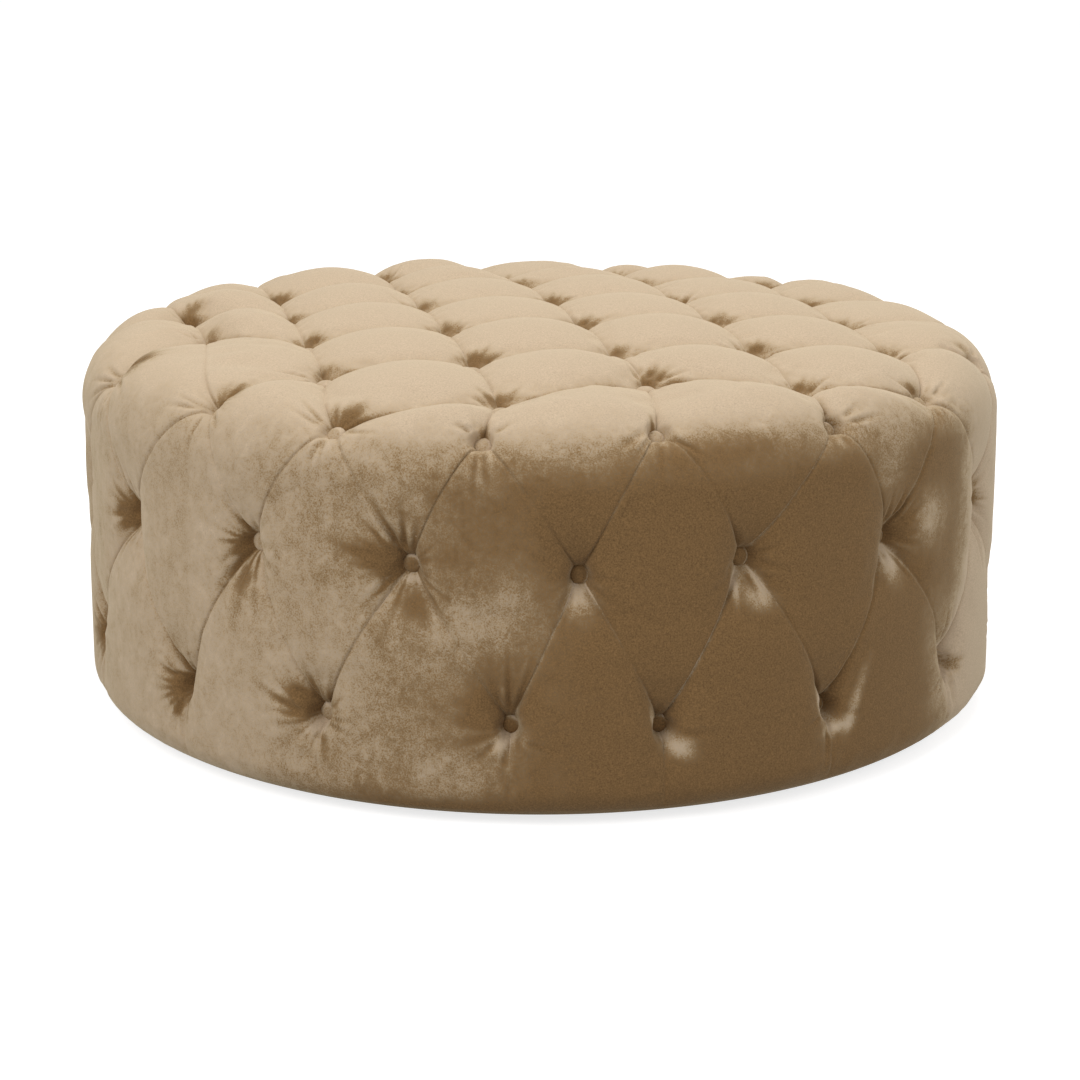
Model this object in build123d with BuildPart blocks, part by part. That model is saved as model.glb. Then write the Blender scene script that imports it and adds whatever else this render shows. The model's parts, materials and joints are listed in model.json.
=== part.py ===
from build123d import *
import os
from math import atan2, cos, degrees, hypot, pi, radians, sin

# Round deep-buttoned pouf, in millimetres: a plywood drum under foam and a tufted velvet cover.
# +Z is up, the floor is z = 0, and the drum's axis is the Z axis.
# Azimuths are in degrees from -Y, which is the front, towards +X.

# Envelope over the crests of the pillows
OUTER_RADIUS = 508
BASE_RADIUS = 512
TOP_HEIGHT = 430
HEM_HEIGHT = 6
CROWN_RISE = 22
SHOULDER_RADIUS = 79
FOOT_RADIUS = 33

# Cover and foam
COVER_THICKNESS = 2
FOAM_INSET = 2.4
HEM_OPENING_RADIUS = 400
BUTTON_DEPTH = 31
EDGE_BUTTON_DEPTH = 25
TOP_PLEAT_DEPTH = 18
SIDE_PLEAT_DEPTH = 9
HEM_PLEAT_DEPTH = 5
HEM_CORNER_TURN = 45
SEAT_RADIUS = 14
COVER_HOLE_RADIUS = 3.5
FOAM_HOLE_RADIUS = 4
TRIM_MARGIN = 10

# Top buttons: a square lattice, turned and set off centre, in rows of 3, 5, 6, 6, 5 and 3
LATTICE_PITCH = 152.4
LATTICE_TURN = 12.5
LATTICE_START = (-71, -240)
LATTICE_ROWS = {-1: (0, 2), 0: (-1, 3), 1: (-2, 3), 2: (-2, 3), 3: (-1, 3), 4: (0, 2)}
LATTICE_SHIFTS = {
    (-2, 1): (34, 88), (-2, 2): (29, 66), (1, -1): (-4, 45), (1, 4): (0, -60), (2, 4): (0, -35),
}

# Side buttons: three rings, each button drawn a little off its even place by the hand that tied it
RING_COUNT = 18
EDGE_START = -65.5
EDGE_TURNS = (0, 3, 1, -1, -1, 1.5, 0.5, 4, 2, -1, 2, 1, -2, -3, -6, -6, -3, -1)
EDGE_TILTS = (44, 50, 46, 44, 50, 39, 41, 39, 42, 44, 45, 43, 44, 46, 44, 42, 44, 45)
UPPER_START = -55.6
UPPER_HEIGHT = 251
UPPER_TURNS = (-2, 1, 1, 0, -1, 0, 3, 2, 1, 0, 1, -1, -2, -4, -6, -4, -2, -1)
UPPER_LIFTS = (-3, 6, 4, -3, 4, -3, -5, -2, 0, 3, -2, 0, 2, -3, 1, 0, 3, -1)
LOWER_START = -65.3
LOWER_HEIGHT = 94
LOWER_TURNS = (-4, 0, 0, 2, -1, 0, 3, 3, 1, 0, 1, 0, -2, -3, -5, -5, -3, -3)
LOWER_LIFTS = (-4, -2, 2, 5, 1, -5, -7, -3, 0, 2, -1, 1, 3, -2, 0, 2, -2, 0)

# Each edge button and the top buttons that its pleats run to
EDGE_TIES = (
    [(-2, 1)], [(-2, 1), (-1, 0)], [(-1, 0), (0, -1)], [(0, -1)], [(1, -1)], [(2, -1)],
    [(2, -1), (3, 0)], [(3, 0)], [(3, 1)], [(3, 2)], [(3, 3)], [(3, 3), (2, 4)],
    [(2, 4)], [(1, 4)], [(0, 4)], [(0, 4), (-1, 3)], [(-1, 3), (-2, 2)], [(-2, 2)],
)
# The lattice button in each inward corner of the top's outline, by the edge button that faces it
INWARD_CORNERS = {1: (-1, 1), 2: (0, 0), 6: (2, 0), 11: (2, 3), 15: (0, 3), 16: (-1, 2)}

# Covered buttons
BUTTON_RADIUS = 10
BUTTON_HEIGHT = 6.6
BUTTON_RIM = 2.1
BUTTON_WALL = 1
BUTTON_LIFT = 0.2
BACK_RADIUS = 8.4
LOOP_RADIUS = 2.2
LOOP_WIRE = 0.5
LOOP_DROP = 1.9
TWINE_RADIUS = 1
TWINE_START = 4.9
KNOT_RADIUS = 2.6
EDGE_KNOT_RADIUS = 4.6
WASHER_RADIUS = 6
WASHER_THICKNESS = 1.5
WASHER_BORE = 1.3
WASHER_GAP = 0.1
PANEL_HOLE_RADIUS = 3.2
EDGE_TWINE_TARGET = (449, 333)
BORE_LEAD = 12
BORE_RUN_OUT = 3

# Drum
HEM_TOP = HEM_HEIGHT + COVER_THICKNESS
DRUM_RADIUS = 456
PANEL_THICKNESS = 4
PANEL_COUNT = 3
PANEL_JOINT_GAP = 1
RING_THICKNESS = 18
RING_WIDTH = 80
DECK_THICKNESS = 15
DECK_TOP = 370
POST_COUNT = 9
POST_START = -60.5
POST_WIDTH = 40
POST_DEPTH = 30
POST_SETBACK = 0.5
RAIL_WIDTH = 60
RAIL_THICKNESS = 20
RAIL_LENGTH = 830
RAIL_AZIMUTH = 5
CENTRE_POST_WIDTH = 60
GLUE_BLOCK_SIDE = 30

# Fasteners
SCREW_RADIUS = 2
SCREW_HEAD_RADIUS = 4
SCREW_HEAD_HEIGHT = 2.4
SCREW_CLEARANCE = 0.1
HEAD_ROOM = 1
POINT_ROOM = 1
DECK_SCREW_LENGTH = 50
BASE_SCREW_LENGTH = 50
RAIL_SCREW_LENGTH = 35
CENTRE_SCREW_LENGTH = 65
PIN_RADIUS = 0.75
PIN_LENGTH = 18
PIN_CLEARANCE = 0.08
PIN_SPREAD = 1.2
PIN_HEIGHTS = (60, 170, 300)
STAPLE_CROWN = 10
STAPLE_WIRE = 0.7
STAPLE_LEG = 9
HEM_STAPLE_COUNT = 54
HEM_STAPLE_RADIUS = 412
DUST_STAPLE_COUNT = 36
DUST_STAPLE_RADIUS = 440
DUST_STAPLE_START = 5

# Underside
DUST_COVER_RADIUS = 446
DUST_COVER_THICKNESS = 0.5
GLIDE_COUNT = 6
GLIDE_START = 10
GLIDE_CIRCLE_RADIUS = 428
GLIDE_RADIUS = 12
GLIDE_PIN_RADIUS = 1.2
GLIDE_PIN_LENGTH = 15
GLIDE_PIN_HEAD = 3
GLIDE_PIN_CLEARANCE = 0.05
GLIDE_ROUNDING = 1.5
GLIDE_SOLE = 2

os.makedirs("parts", exist_ok=True)

shoulder_centre_r = OUTER_RADIUS - SHOULDER_RADIUS
shoulder_centre_z = TOP_HEIGHT - CROWN_RISE - SHOULDER_RADIUS
foot_centre_r = BASE_RADIUS - FOOT_RADIUS
foot_top = HEM_HEIGHT + FOOT_RADIUS
ring_top = HEM_TOP + RING_THICKNESS
ring_outer = DRUM_RADIUS - PANEL_THICKNESS
deck_bottom = DECK_TOP - DECK_THICKNESS
post_circle_radius = ring_outer - POST_SETBACK - POST_DEPTH / 2
rail_top = ring_top + RAIL_THICKNESS
staple_crown_bottom = HEM_HEIGHT - STAPLE_WIRE
dust_bottom = staple_crown_bottom - DUST_COVER_THICKNESS


def outward(azimuth):
    """The level direction that points out of the drum at an azimuth."""
    return Vector(sin(radians(azimuth)), -cos(radians(azimuth)), 0)


def save(part, name):
    """Label a finished piece and write it under its own name."""
    part.label = name
    export_step(part, f"parts/{name}.step")


def group(solids, name):
    """Write like pieces as one node of separate solids."""
    save(Compound(children=list(solids)), name)


# Envelope: the smooth body that the crests of the pillows touch. A foot is a point of it, written as
# its place in an unrolled plan, where the distance from the middle is the run along the profile
# from the axis, with that run again as the third number.

shoulder_start = shoulder_centre_r
shoulder_end = shoulder_start + SHOULDER_RADIUS * pi / 2
wall_end = shoulder_end + shoulder_centre_z - foot_top


def on_profile(run):
    """Radius and height of the profile at a run, and the angle of its normal above level."""
    if run < shoulder_start:
        share = run / shoulder_start
        slope = 2 * CROWN_RISE * share / shoulder_start
        return run, TOP_HEIGHT - CROWN_RISE * share**2, atan2(1, slope)
    if run < shoulder_end:
        tilt = pi / 2 - (run - shoulder_start) / SHOULDER_RADIUS
        radius = shoulder_centre_r + SHOULDER_RADIUS * cos(tilt)
        return radius, shoulder_centre_z + SHOULDER_RADIUS * sin(tilt), tilt
    if run < wall_end:
        drop = run - shoulder_end
        share = drop / (wall_end - shoulder_end)
        return OUTER_RADIUS + (BASE_RADIUS - OUTER_RADIUS) * share, shoulder_centre_z - drop, 0
    tilt = (wall_end - run) / FOOT_RADIUS
    return foot_centre_r + FOOT_RADIUS * cos(tilt), foot_top + FOOT_RADIUS * sin(tilt), tilt


def on_envelope(foot):
    """The point of the envelope at a foot, and its outward normal there."""
    distance = hypot(foot.X, foot.Y)
    bend = min(max((distance - shoulder_start) / (shoulder_end - shoulder_start), 0), 1)
    radius, height, tilt = on_profile(distance + (foot.Z - distance) * bend)
    out = Vector(foot.X, foot.Y, 0).normalized()
    return out * radius + Vector(0, 0, height), out * cos(tilt) + Vector(0, 0, sin(tilt))


# Tufting layout: each corner of a pillow is a foot on the envelope and a depth under it

def ring_foot(azimuth, run):
    """The foot at an azimuth and a run."""
    return outward(azimuth) * run + Vector(0, 0, run)


def lattice_foot(column, row):
    """The foot of a top button."""
    shift = LATTICE_SHIFTS.get((column, row), (0, 0))
    turn = radians(LATTICE_TURN)
    x = LATTICE_START[0] + LATTICE_PITCH * (column * cos(turn) - row * sin(turn)) + shift[0]
    y = LATTICE_START[1] + LATTICE_PITCH * (column * sin(turn) + row * cos(turn)) + shift[1]
    return Vector(x, y, hypot(x, y))


def edge_foot(azimuth, tilt):
    """The foot of an edge button, on the shoulder's arc."""
    return ring_foot(azimuth, shoulder_start + SHOULDER_RADIUS * radians(90 - tilt))


def side_foot(azimuth, height):
    """The foot of a side button, on the wall at a height."""
    return ring_foot(azimuth, shoulder_end + shoulder_centre_z - height)


step = 360 / RING_COUNT
ring = range(RING_COUNT)
top_buttons = {
    (column, row): (lattice_foot(column, row), BUTTON_DEPTH)
    for row, (first, last) in LATTICE_ROWS.items()
    for column in range(first, last + 1)
}
edge_buttons = [
    (edge_foot(EDGE_START + step * k + EDGE_TURNS[k], EDGE_TILTS[k]), EDGE_BUTTON_DEPTH) for k in ring
]
upper_buttons = [
    (side_foot(UPPER_START + step * k + UPPER_TURNS[k], UPPER_HEIGHT + UPPER_LIFTS[k]), BUTTON_DEPTH)
    for k in ring
]
lower_buttons = [
    (side_foot(LOWER_START + step * k + LOWER_TURNS[k], LOWER_HEIGHT + LOWER_LIFTS[k]), BUTTON_DEPTH)
    for k in ring
]
hem_run = wall_end + FOOT_RADIUS * radians(HEM_CORNER_TURN)
hem_corners = [(ring_foot(LOWER_START + step * k + LOWER_TURNS[k], hem_run), 0) for k in ring]


def pillow_outlines():
    """The corners of each pillow, in order round it."""
    outlines = []
    for column, row in top_buttons:
        square = [(column, row), (column + 1, row), (column + 1, row + 1), (column, row + 1)]
        if all(place in top_buttons for place in square):
            outlines.append([top_buttons[place] for place in square])
    for k in ring:
        after = (k + 1) % RING_COUNT
        last_tie = EDGE_TIES[k][-1]
        first_tie = EDGE_TIES[after][0]
        inner = [top_buttons[last_tie]]
        if first_tie != last_tie:
            inner.append(top_buttons[first_tie])
        outlines.append([upper_buttons[k], edge_buttons[k]] + inner + [edge_buttons[after]])
        outlines.append([edge_buttons[after], upper_buttons[k], lower_buttons[after], upper_buttons[after]])
        outlines.append(
            [lower_buttons[k], upper_buttons[k], lower_buttons[after], hem_corners[after], hem_corners[k]]
        )
        if k in INWARD_CORNERS:
            first, last = EDGE_TIES[k]
            corner = top_buttons[INWARD_CORNERS[k]]
            outlines.append([edge_buttons[k], top_buttons[first], corner, top_buttons[last]])
    return outlines


def pleat_depth(corner, other):
    """Depth of a pleat halfway between two corners."""
    if corner[1] == 0 and other[1] == 0:
        return 0
    if corner[1] == 0 or other[1] == 0:
        return HEM_PLEAT_DEPTH
    on_side = max(corner[0].Z, other[0].Z) > shoulder_end
    return SIDE_PLEAT_DEPTH if on_side else TOP_PLEAT_DEPTH


def halfway(corner, other):
    """The point on a pleat halfway between two corners."""
    return (corner[0] + other[0]) * 0.5, pleat_depth(corner, other)


def skin_point(foot, depth, inset):
    """A point of the tufted skin: under the envelope by its depth and the skin's inset."""
    point, normal = on_envelope(foot)
    return point - normal * (depth + inset)


def seat_centre(button, inset):
    """Centre and outward normal of the flat seat under a button."""
    point, normal = on_envelope(button[0])
    return point - normal * (button[1] + inset), normal


def seat_corner(button, towards, inset):
    """The seat's corner that lies towards a point of the skin."""
    centre, normal = seat_centre(button, inset)
    along = towards - centre
    along = (along - normal * along.dot(normal)).normalized()
    return centre + along * SEAT_RADIUS


def quarter_grid(corner, after, middle, before, inset):
    """Nine points on the quarter of a pillow next to one corner, rising as a dome does."""
    grid = []
    for u in (0, 0.5, 1):
        line = []
        for v in (0, 0.5, 1):
            foot = corner[0] * ((1 - u) * (1 - v)) + after[0] * (u * (1 - v))
            foot = foot + before[0] * ((1 - u) * v) + middle[0] * (u * v)
            a = 1 - (1 - u) ** 2
            b = 1 - (1 - v) ** 2
            depth = corner[1] * (1 - a) * (1 - b) + after[1] * a * (1 - b) + before[1] * (1 - a) * b
            line.append(skin_point(foot, depth, inset))
        grid.append(line)
    return grid


def polygon(*points):
    """A flat face through points."""
    return Face(Wire.make_polygon(points))


def quarter_faces(corner, after, middle, before, inset, seat_corners):
    """Flat faces of one quarter of a pillow, with the edge of the button's seat at its corner."""
    grid = quarter_grid(corner, after, middle, before, inset)
    outer = quarter_grid(corner, after, middle, before, 0)
    faces = []
    for i in (0, 1):
        for j in (0, 1):
            near, far = grid[i][j], grid[i + 1][j + 1]
            along, across = grid[i + 1][j], grid[i][j + 1]
            if i == 0 and j == 0 and corner[1] > 0:
                first, second, third = (seat_corner(corner, p, inset) for p in (along, far, across))
                seat_corners += [first, second, third]
                faces += [polygon(first, along, far), polygon(first, far, second)]
                faces += [polygon(second, far, third), polygon(third, far, across)]
            elif fuller_across(outer[i][j], outer[i + 1][j], outer[i + 1][j + 1], outer[i][j + 1]):
                faces += [polygon(near, along, across), polygon(along, far, across)]
            else:
                faces += [polygon(near, along, far), polygon(near, far, across)]
    return faces


def fuller_across(near, along, far, across):
    """Whether four points enclose more when they are split between the second and the fourth."""
    normal = (along - near).cross(across - near) + (across - far).cross(along - far)
    inner = Vector(0, 0, shoulder_centre_z)
    outwards = normal.dot(near - inner)
    return (along + across - near - far).dot(normal) * outwards > 0


def in_order(button, corners, inset):
    """A seat's corners once each, in order round the button."""
    centre, normal = seat_centre(button, inset)
    plane = Plane(origin=centre, z_dir=normal)
    turned = {}
    for corner in corners:
        local = plane.to_local_coords(corner)
        turned[round(degrees(atan2(local.Y, local.X)), 2)] = corner
    return [turned[angle] for angle in sorted(turned)]


def hole_outline(button, inset):
    """Four corners of the hole that a button's loop passes through."""
    centre, normal = seat_centre(button, inset)
    plane = Plane(origin=centre, z_dir=normal)
    along, across = plane.x_dir * COVER_HOLE_RADIUS, plane.y_dir * COVER_HOLE_RADIUS
    return [centre + along, centre + across, centre - along, centre - across]


def pillow_skin(inset, with_holes):
    """Faces of every pillow and button seat, and the azimuths of the corners along the hem."""
    faces = []
    seats = {}
    for outline in pillow_outlines():
        count = len(outline)
        middle = sum((corner[0] for corner in outline), Vector(0, 0, 0)) * (1 / count), 0
        for i, corner in enumerate(outline):
            after = halfway(corner, outline[(i + 1) % count])
            before = halfway(corner, outline[i - 1])
            key = tuple(corner[0])
            seats.setdefault(key, (corner, []))
            faces += quarter_faces(corner, after, middle, before, inset, seats[key][1])
    for corner, corners in seats.values():
        if corners:
            rim = Wire.make_polygon(in_order(corner, corners, inset))
            holes = [Wire.make_polygon(hole_outline(corner, inset))] if with_holes else []
            faces.append(Face(rim, holes))
    return faces


def hem_azimuths():
    """Azimuths of the corners where the pillows meet the rounded foot."""
    azimuths = []
    for k in ring:
        start = hem_corners[k][0]
        end = hem_corners[(k + 1) % RING_COUNT][0]
        for share in (0, 0.25, 0.5, 0.75):
            foot = start * (1 - share) + end * share
            azimuths.append(degrees(atan2(foot.X, -foot.Y)))
    return azimuths


def round_the_drum(radius, height):
    """Points at the hem's azimuths."""
    return [outward(azimuth) * radius + Vector(0, 0, height) for azimuth in hem_azimuths()]


def strip(lower, upper):
    """Flat faces between two closed rows of points."""
    return [polygon(lower[i - 1], lower[i], upper[i], upper[i - 1]) for i in range(len(lower))]


def foot_skin(inset):
    """Faces of the rest of the rounded foot, from the pillows in to the flat hem."""
    radius = FOOT_RADIUS - inset
    rows = []
    for turn in (HEM_CORNER_TURN, (HEM_CORNER_TURN + 90) / 2, 90):
        out_by = foot_centre_r + radius * cos(radians(turn))
        rows.append(round_the_drum(out_by, foot_top - radius * sin(radians(turn))))
    return strip(rows[0], rows[1]) + strip(rows[1], rows[2])


def tufted_body(inset):
    """Closed solid inside the tufted skin."""
    base = Face(Wire.make_polygon(round_the_drum(foot_centre_r, HEM_HEIGHT + inset)))
    return Solid(Shell(pillow_skin(inset, False) + foot_skin(inset) + [base]))


def tufted_cover():
    """The cover: an outer and an inner skin, joined round the hem's opening and at each button's hole."""
    faces = []
    for inset in (0, COVER_THICKNESS):
        rim = Wire.make_polygon(round_the_drum(foot_centre_r, HEM_HEIGHT + inset))
        opening = Wire.make_polygon(round_the_drum(HEM_OPENING_RADIUS, HEM_HEIGHT + inset))
        faces += pillow_skin(inset, True) + foot_skin(inset) + [Face(rim, [opening])]
    faces += strip(
        round_the_drum(HEM_OPENING_RADIUS, HEM_HEIGHT), round_the_drum(HEM_OPENING_RADIUS, HEM_TOP)
    )
    for button in all_buttons:
        faces += strip(hole_outline(button, 0), hole_outline(button, COVER_THICKNESS))
    return Solid(Shell(faces))


all_buttons = list(top_buttons.values()) + edge_buttons + upper_buttons + lower_buttons


# Twine paths: from the loop behind each button to the wood that it is tied through

def top_twine(button):
    """Straight down from a top button, through the deck."""
    centre, normal = seat_centre(button, 0)
    start = centre - normal * TWINE_START
    return start, Vector(start.X, start.Y, deck_bottom - WASHER_THICKNESS)


def side_twine(button):
    """Level, from a side button through the panel."""
    centre, normal = seat_centre(button, 0)
    reach = centre.dot(normal) - ring_outer + WASHER_THICKNESS
    return centre - normal * TWINE_START, centre - normal * reach


def edge_twine(button):
    """Slanting down from an edge button, through the panel just under the deck."""
    centre, normal = seat_centre(button, 0)
    out = Vector(centre.X, centre.Y, 0).normalized()
    target = out * EDGE_TWINE_TARGET[0] + Vector(0, 0, EDGE_TWINE_TARGET[1])
    return centre - normal * TWINE_START, target


def rod(start, end, radius):
    """A round bar between two points."""
    along = end - start
    with BuildPart() as bar:
        with BuildSketch(Plane(origin=start, z_dir=along)):
            Circle(radius)
        extrude(amount=along.length)
    return bar.part


top_twines = [top_twine(button) for button in top_buttons.values()]
edge_twines = [edge_twine(button) for button in edge_buttons]
upper_twines = [side_twine(button) for button in upper_buttons]
lower_twines = [side_twine(button) for button in lower_buttons]


def bores(twines, radius):
    """Bars round the twines, each from outside its button's seat to past its far end."""
    bars = []
    for start, end in twines:
        along = (end - start).normalized()
        bars.append(rod(start - along * BORE_LEAD, end + along * BORE_RUN_OUT, radius))
    return bars


# Cover

with BuildPart() as velvet_cover:
    add(tufted_cover())
save(velvet_cover.part, "velvet_cover")


# Foam: a top pad on the deck and a band round the drum, both drawn in under every button

foam = tufted_body(FOAM_INSET)
top_bores = bores(top_twines, FOAM_HOLE_RADIUS)
edge_bores = bores(edge_twines, FOAM_HOLE_RADIUS)
side_bores = bores(upper_twines + lower_twines, FOAM_HOLE_RADIUS)

with BuildPart() as foam_top:
    add(foam)
    with BuildSketch(Plane.XY):
        Circle(BASE_RADIUS + TRIM_MARGIN)
    extrude(amount=DECK_TOP, mode=Mode.SUBTRACT)
    add(top_bores + edge_bores, mode=Mode.SUBTRACT)
save(foam_top.part, "foam_top_pad")

with BuildPart() as foam_band:
    add(foam)
    with BuildSketch(Plane.XY):
        Circle(DRUM_RADIUS)
    extrude(amount=DECK_TOP, mode=Mode.SUBTRACT)
    with BuildSketch(Plane.XY.offset(DECK_TOP)):
        Circle(BASE_RADIUS + TRIM_MARGIN)
    extrude(amount=TOP_HEIGHT, mode=Mode.SUBTRACT)
    add(side_bores + edge_bores, mode=Mode.SUBTRACT)
save(foam_band.part, "foam_side_band")


# Screws and where they go: each place is the head's flush face and the way the screw points

def screw(place, along, length):
    """A countersunk wood screw with its head flush at a place."""
    plane = Plane(origin=place, z_dir=along)
    with BuildPart() as body:
        with BuildSketch(plane):
            Circle(SCREW_HEAD_RADIUS)
        with BuildSketch(plane.offset(SCREW_HEAD_HEIGHT)):
            Circle(SCREW_RADIUS)
        loft()
        with BuildSketch(plane.offset(SCREW_HEAD_HEIGHT)):
            Circle(SCREW_RADIUS)
        extrude(amount=length - SCREW_HEAD_HEIGHT)
    return body.part


def screw_clearance(place, along, length):
    """The space that a screw needs in the wood."""
    plane = Plane(origin=place, z_dir=along)
    with BuildPart() as body:
        with BuildSketch(plane.offset(-HEAD_ROOM)):
            Circle(SCREW_HEAD_RADIUS + SCREW_CLEARANCE)
        extrude(amount=HEAD_ROOM)
        with BuildSketch(plane):
            Circle(SCREW_HEAD_RADIUS + SCREW_CLEARANCE)
        with BuildSketch(plane.offset(SCREW_HEAD_HEIGHT)):
            Circle(SCREW_RADIUS + SCREW_CLEARANCE)
        loft()
        with BuildSketch(plane.offset(SCREW_HEAD_HEIGHT)):
            Circle(SCREW_RADIUS + SCREW_CLEARANCE)
        extrude(amount=length - SCREW_HEAD_HEIGHT + POINT_ROOM)
    return body.part


post_azimuths = [POST_START + 360 / POST_COUNT * k for k in range(POST_COUNT)]
post_places = [outward(azimuth) * post_circle_radius for azimuth in post_azimuths]
down = Vector(0, 0, -1)
up = Vector(0, 0, 1)
deck_screw_places = [(place + up * DECK_TOP, down, DECK_SCREW_LENGTH) for place in post_places]
deck_screw_places.append((up * DECK_TOP, down, DECK_SCREW_LENGTH))
base_screw_places = [(place + up * HEM_TOP, up, BASE_SCREW_LENGTH) for place in post_places]
base_screw_places.append((up * ring_top, up, CENTRE_SCREW_LENGTH))
rail_screw_radius = RAIL_LENGTH / 2 - (RAIL_LENGTH / 2 - ring_outer + RING_WIDTH) / 2
rail_screw_places = [
    (outward(RAIL_AZIMUTH + 90 * k) * rail_screw_radius + up * rail_top, down, RAIL_SCREW_LENGTH)
    for k in range(4)
]
deck_clearances = [screw_clearance(*place) for place in deck_screw_places]
base_clearances = [screw_clearance(*place) for place in base_screw_places]
rail_clearances = [screw_clearance(*place) for place in rail_screw_places]

group([screw(*place) for place in deck_screw_places], "deck_screws")
group([screw(*place) for place in base_screw_places], "base_screws")
group([screw(*place) for place in rail_screw_places], "rail_screws")


# Deck board: the plywood disc that the top buttons are tied through

with BuildPart() as deck_board:
    with BuildSketch(Plane.XY.offset(deck_bottom)):
        Circle(DRUM_RADIUS)
    extrude(amount=DECK_THICKNESS)
    for start, end in top_twines:
        with BuildSketch(Plane.XY.offset(deck_bottom)):
            with Locations((start.X, start.Y)):
                Circle(PANEL_HOLE_RADIUS)
        extrude(amount=DECK_THICKNESS, mode=Mode.SUBTRACT)
    add(deck_clearances, mode=Mode.SUBTRACT)
save(deck_board.part, "deck_board")


# Base ring

with BuildPart() as base_ring:
    with BuildSketch(Plane.XY.offset(HEM_TOP)):
        Circle(ring_outer)
        Circle(ring_outer - RING_WIDTH, mode=Mode.SUBTRACT)
    extrude(amount=RING_THICKNESS)
    add(base_clearances + rail_clearances, mode=Mode.SUBTRACT)
save(base_ring.part, "base_ring")


# Floor rails: two battens across the ring, half-lapped where they cross

def floor_rail(azimuth, lap_bottom):
    """One batten, with half its thickness cut away at the crossing."""
    with BuildPart() as rail:
        with BuildSketch(Plane.XY.offset(ring_top)):
            Rectangle(RAIL_WIDTH, RAIL_LENGTH, rotation=azimuth)
        extrude(amount=RAIL_THICKNESS)
        with BuildSketch(Plane.XY.offset(lap_bottom)):
            Rectangle(RAIL_WIDTH, RAIL_WIDTH, rotation=azimuth)
        extrude(amount=RAIL_THICKNESS / 2, mode=Mode.SUBTRACT)
        add(rail_clearances + base_clearances[-1:], mode=Mode.SUBTRACT)
    return rail.part


save(floor_rail(RAIL_AZIMUTH, ring_top + RAIL_THICKNESS / 2), "floor_rail_lower")
save(floor_rail(RAIL_AZIMUTH + 90, ring_top), "floor_rail_upper")


# Posts

with BuildPart() as centre_post:
    with BuildSketch(Plane.XY.offset(rail_top)):
        Rectangle(CENTRE_POST_WIDTH, CENTRE_POST_WIDTH, rotation=RAIL_AZIMUTH)
    extrude(amount=deck_bottom - rail_top)
    add(deck_clearances[-1:] + base_clearances[-1:], mode=Mode.SUBTRACT)
save(centre_post.part, "centre_post")


def pin_places(azimuth):
    """Heads of the six panel pins at one post."""
    return [
        outward(azimuth + side * PIN_SPREAD) * DRUM_RADIUS + up * height
        for side in (-1, 1)
        for height in PIN_HEIGHTS
    ]


def pin(place, radius, length):
    """A headless panel pin, driven in level towards the drum's axis."""
    out = Vector(place.X, place.Y, 0).normalized()
    return rod(place, place - out * length, radius)


def pin_clearances(azimuth):
    """The space that one post's pins need."""
    return [pin(place, PIN_RADIUS + PIN_CLEARANCE, PIN_LENGTH + POINT_ROOM) for place in pin_places(azimuth)]


for number, azimuth in enumerate(post_azimuths, 1):
    with BuildPart() as post:
        with BuildSketch(Plane.XY.offset(ring_top)):
            with PolarLocations(post_circle_radius, 1, start_angle=azimuth - 90):
                Rectangle(POST_DEPTH, POST_WIDTH)
        extrude(amount=deck_bottom - ring_top)
        add([deck_clearances[number - 1], base_clearances[number - 1]], mode=Mode.SUBTRACT)
        add(pin_clearances(azimuth), mode=Mode.SUBTRACT)
    save(post.part, f"post_{number}")


# Glue blocks: three-cornered blocks in the angle between each post and the deck

def glue_block(azimuth):
    """One block, glued to the post's inner face and the deck's underside."""
    out = outward(azimuth)
    side = out.cross(up)
    corner = out * (post_circle_radius - POST_DEPTH / 2) + up * deck_bottom - side * (POST_WIDTH / 2)
    with BuildPart() as block:
        end = polygon(corner, corner - out * GLUE_BLOCK_SIDE, corner - up * GLUE_BLOCK_SIDE)
        extrude(end, amount=POST_WIDTH, dir=side)
    return block.part


group([glue_block(azimuth) for azimuth in post_azimuths], "glue_blocks")


# Side panels: three sheets of bending plywood, butted over every third post

side_holes = bores(upper_twines + lower_twines, PANEL_HOLE_RADIUS)
edge_holes = bores(edge_twines, PANEL_HOLE_RADIUS)
all_pin_clearances = [clearance for azimuth in post_azimuths for clearance in pin_clearances(azimuth)]

with BuildPart() as panel_drum:
    with BuildSketch(Plane.XY.offset(HEM_TOP)):
        Circle(DRUM_RADIUS)
        Circle(ring_outer, mode=Mode.SUBTRACT)
    extrude(amount=deck_bottom - HEM_TOP)
    for k in range(PANEL_COUNT):
        with BuildSketch(Plane.XY.offset(HEM_TOP)):
            with PolarLocations(ring_outer, 1, start_angle=post_azimuths[k * 3] - 90):
                Rectangle(POST_DEPTH, PANEL_JOINT_GAP)
        extrude(amount=deck_bottom - HEM_TOP, mode=Mode.SUBTRACT)
    add(side_holes + edge_holes + all_pin_clearances, mode=Mode.SUBTRACT)
for number, panel in enumerate(panel_drum.part.solids().sort_by(Axis.X), 1):
    save(panel, f"side_panel_{number}")

group([pin(place, PIN_RADIUS, PIN_LENGTH) for azimuth in post_azimuths for place in pin_places(azimuth)],
      "panel_pins")


# Covered buttons: a domed cap, and a back plate with its wire loop

def dome_radius(rim_radius, rise):
    """Radius of the sphere whose cap stands so high over a rim."""
    return (rim_radius**2 + rise**2) / (2 * rise)


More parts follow.
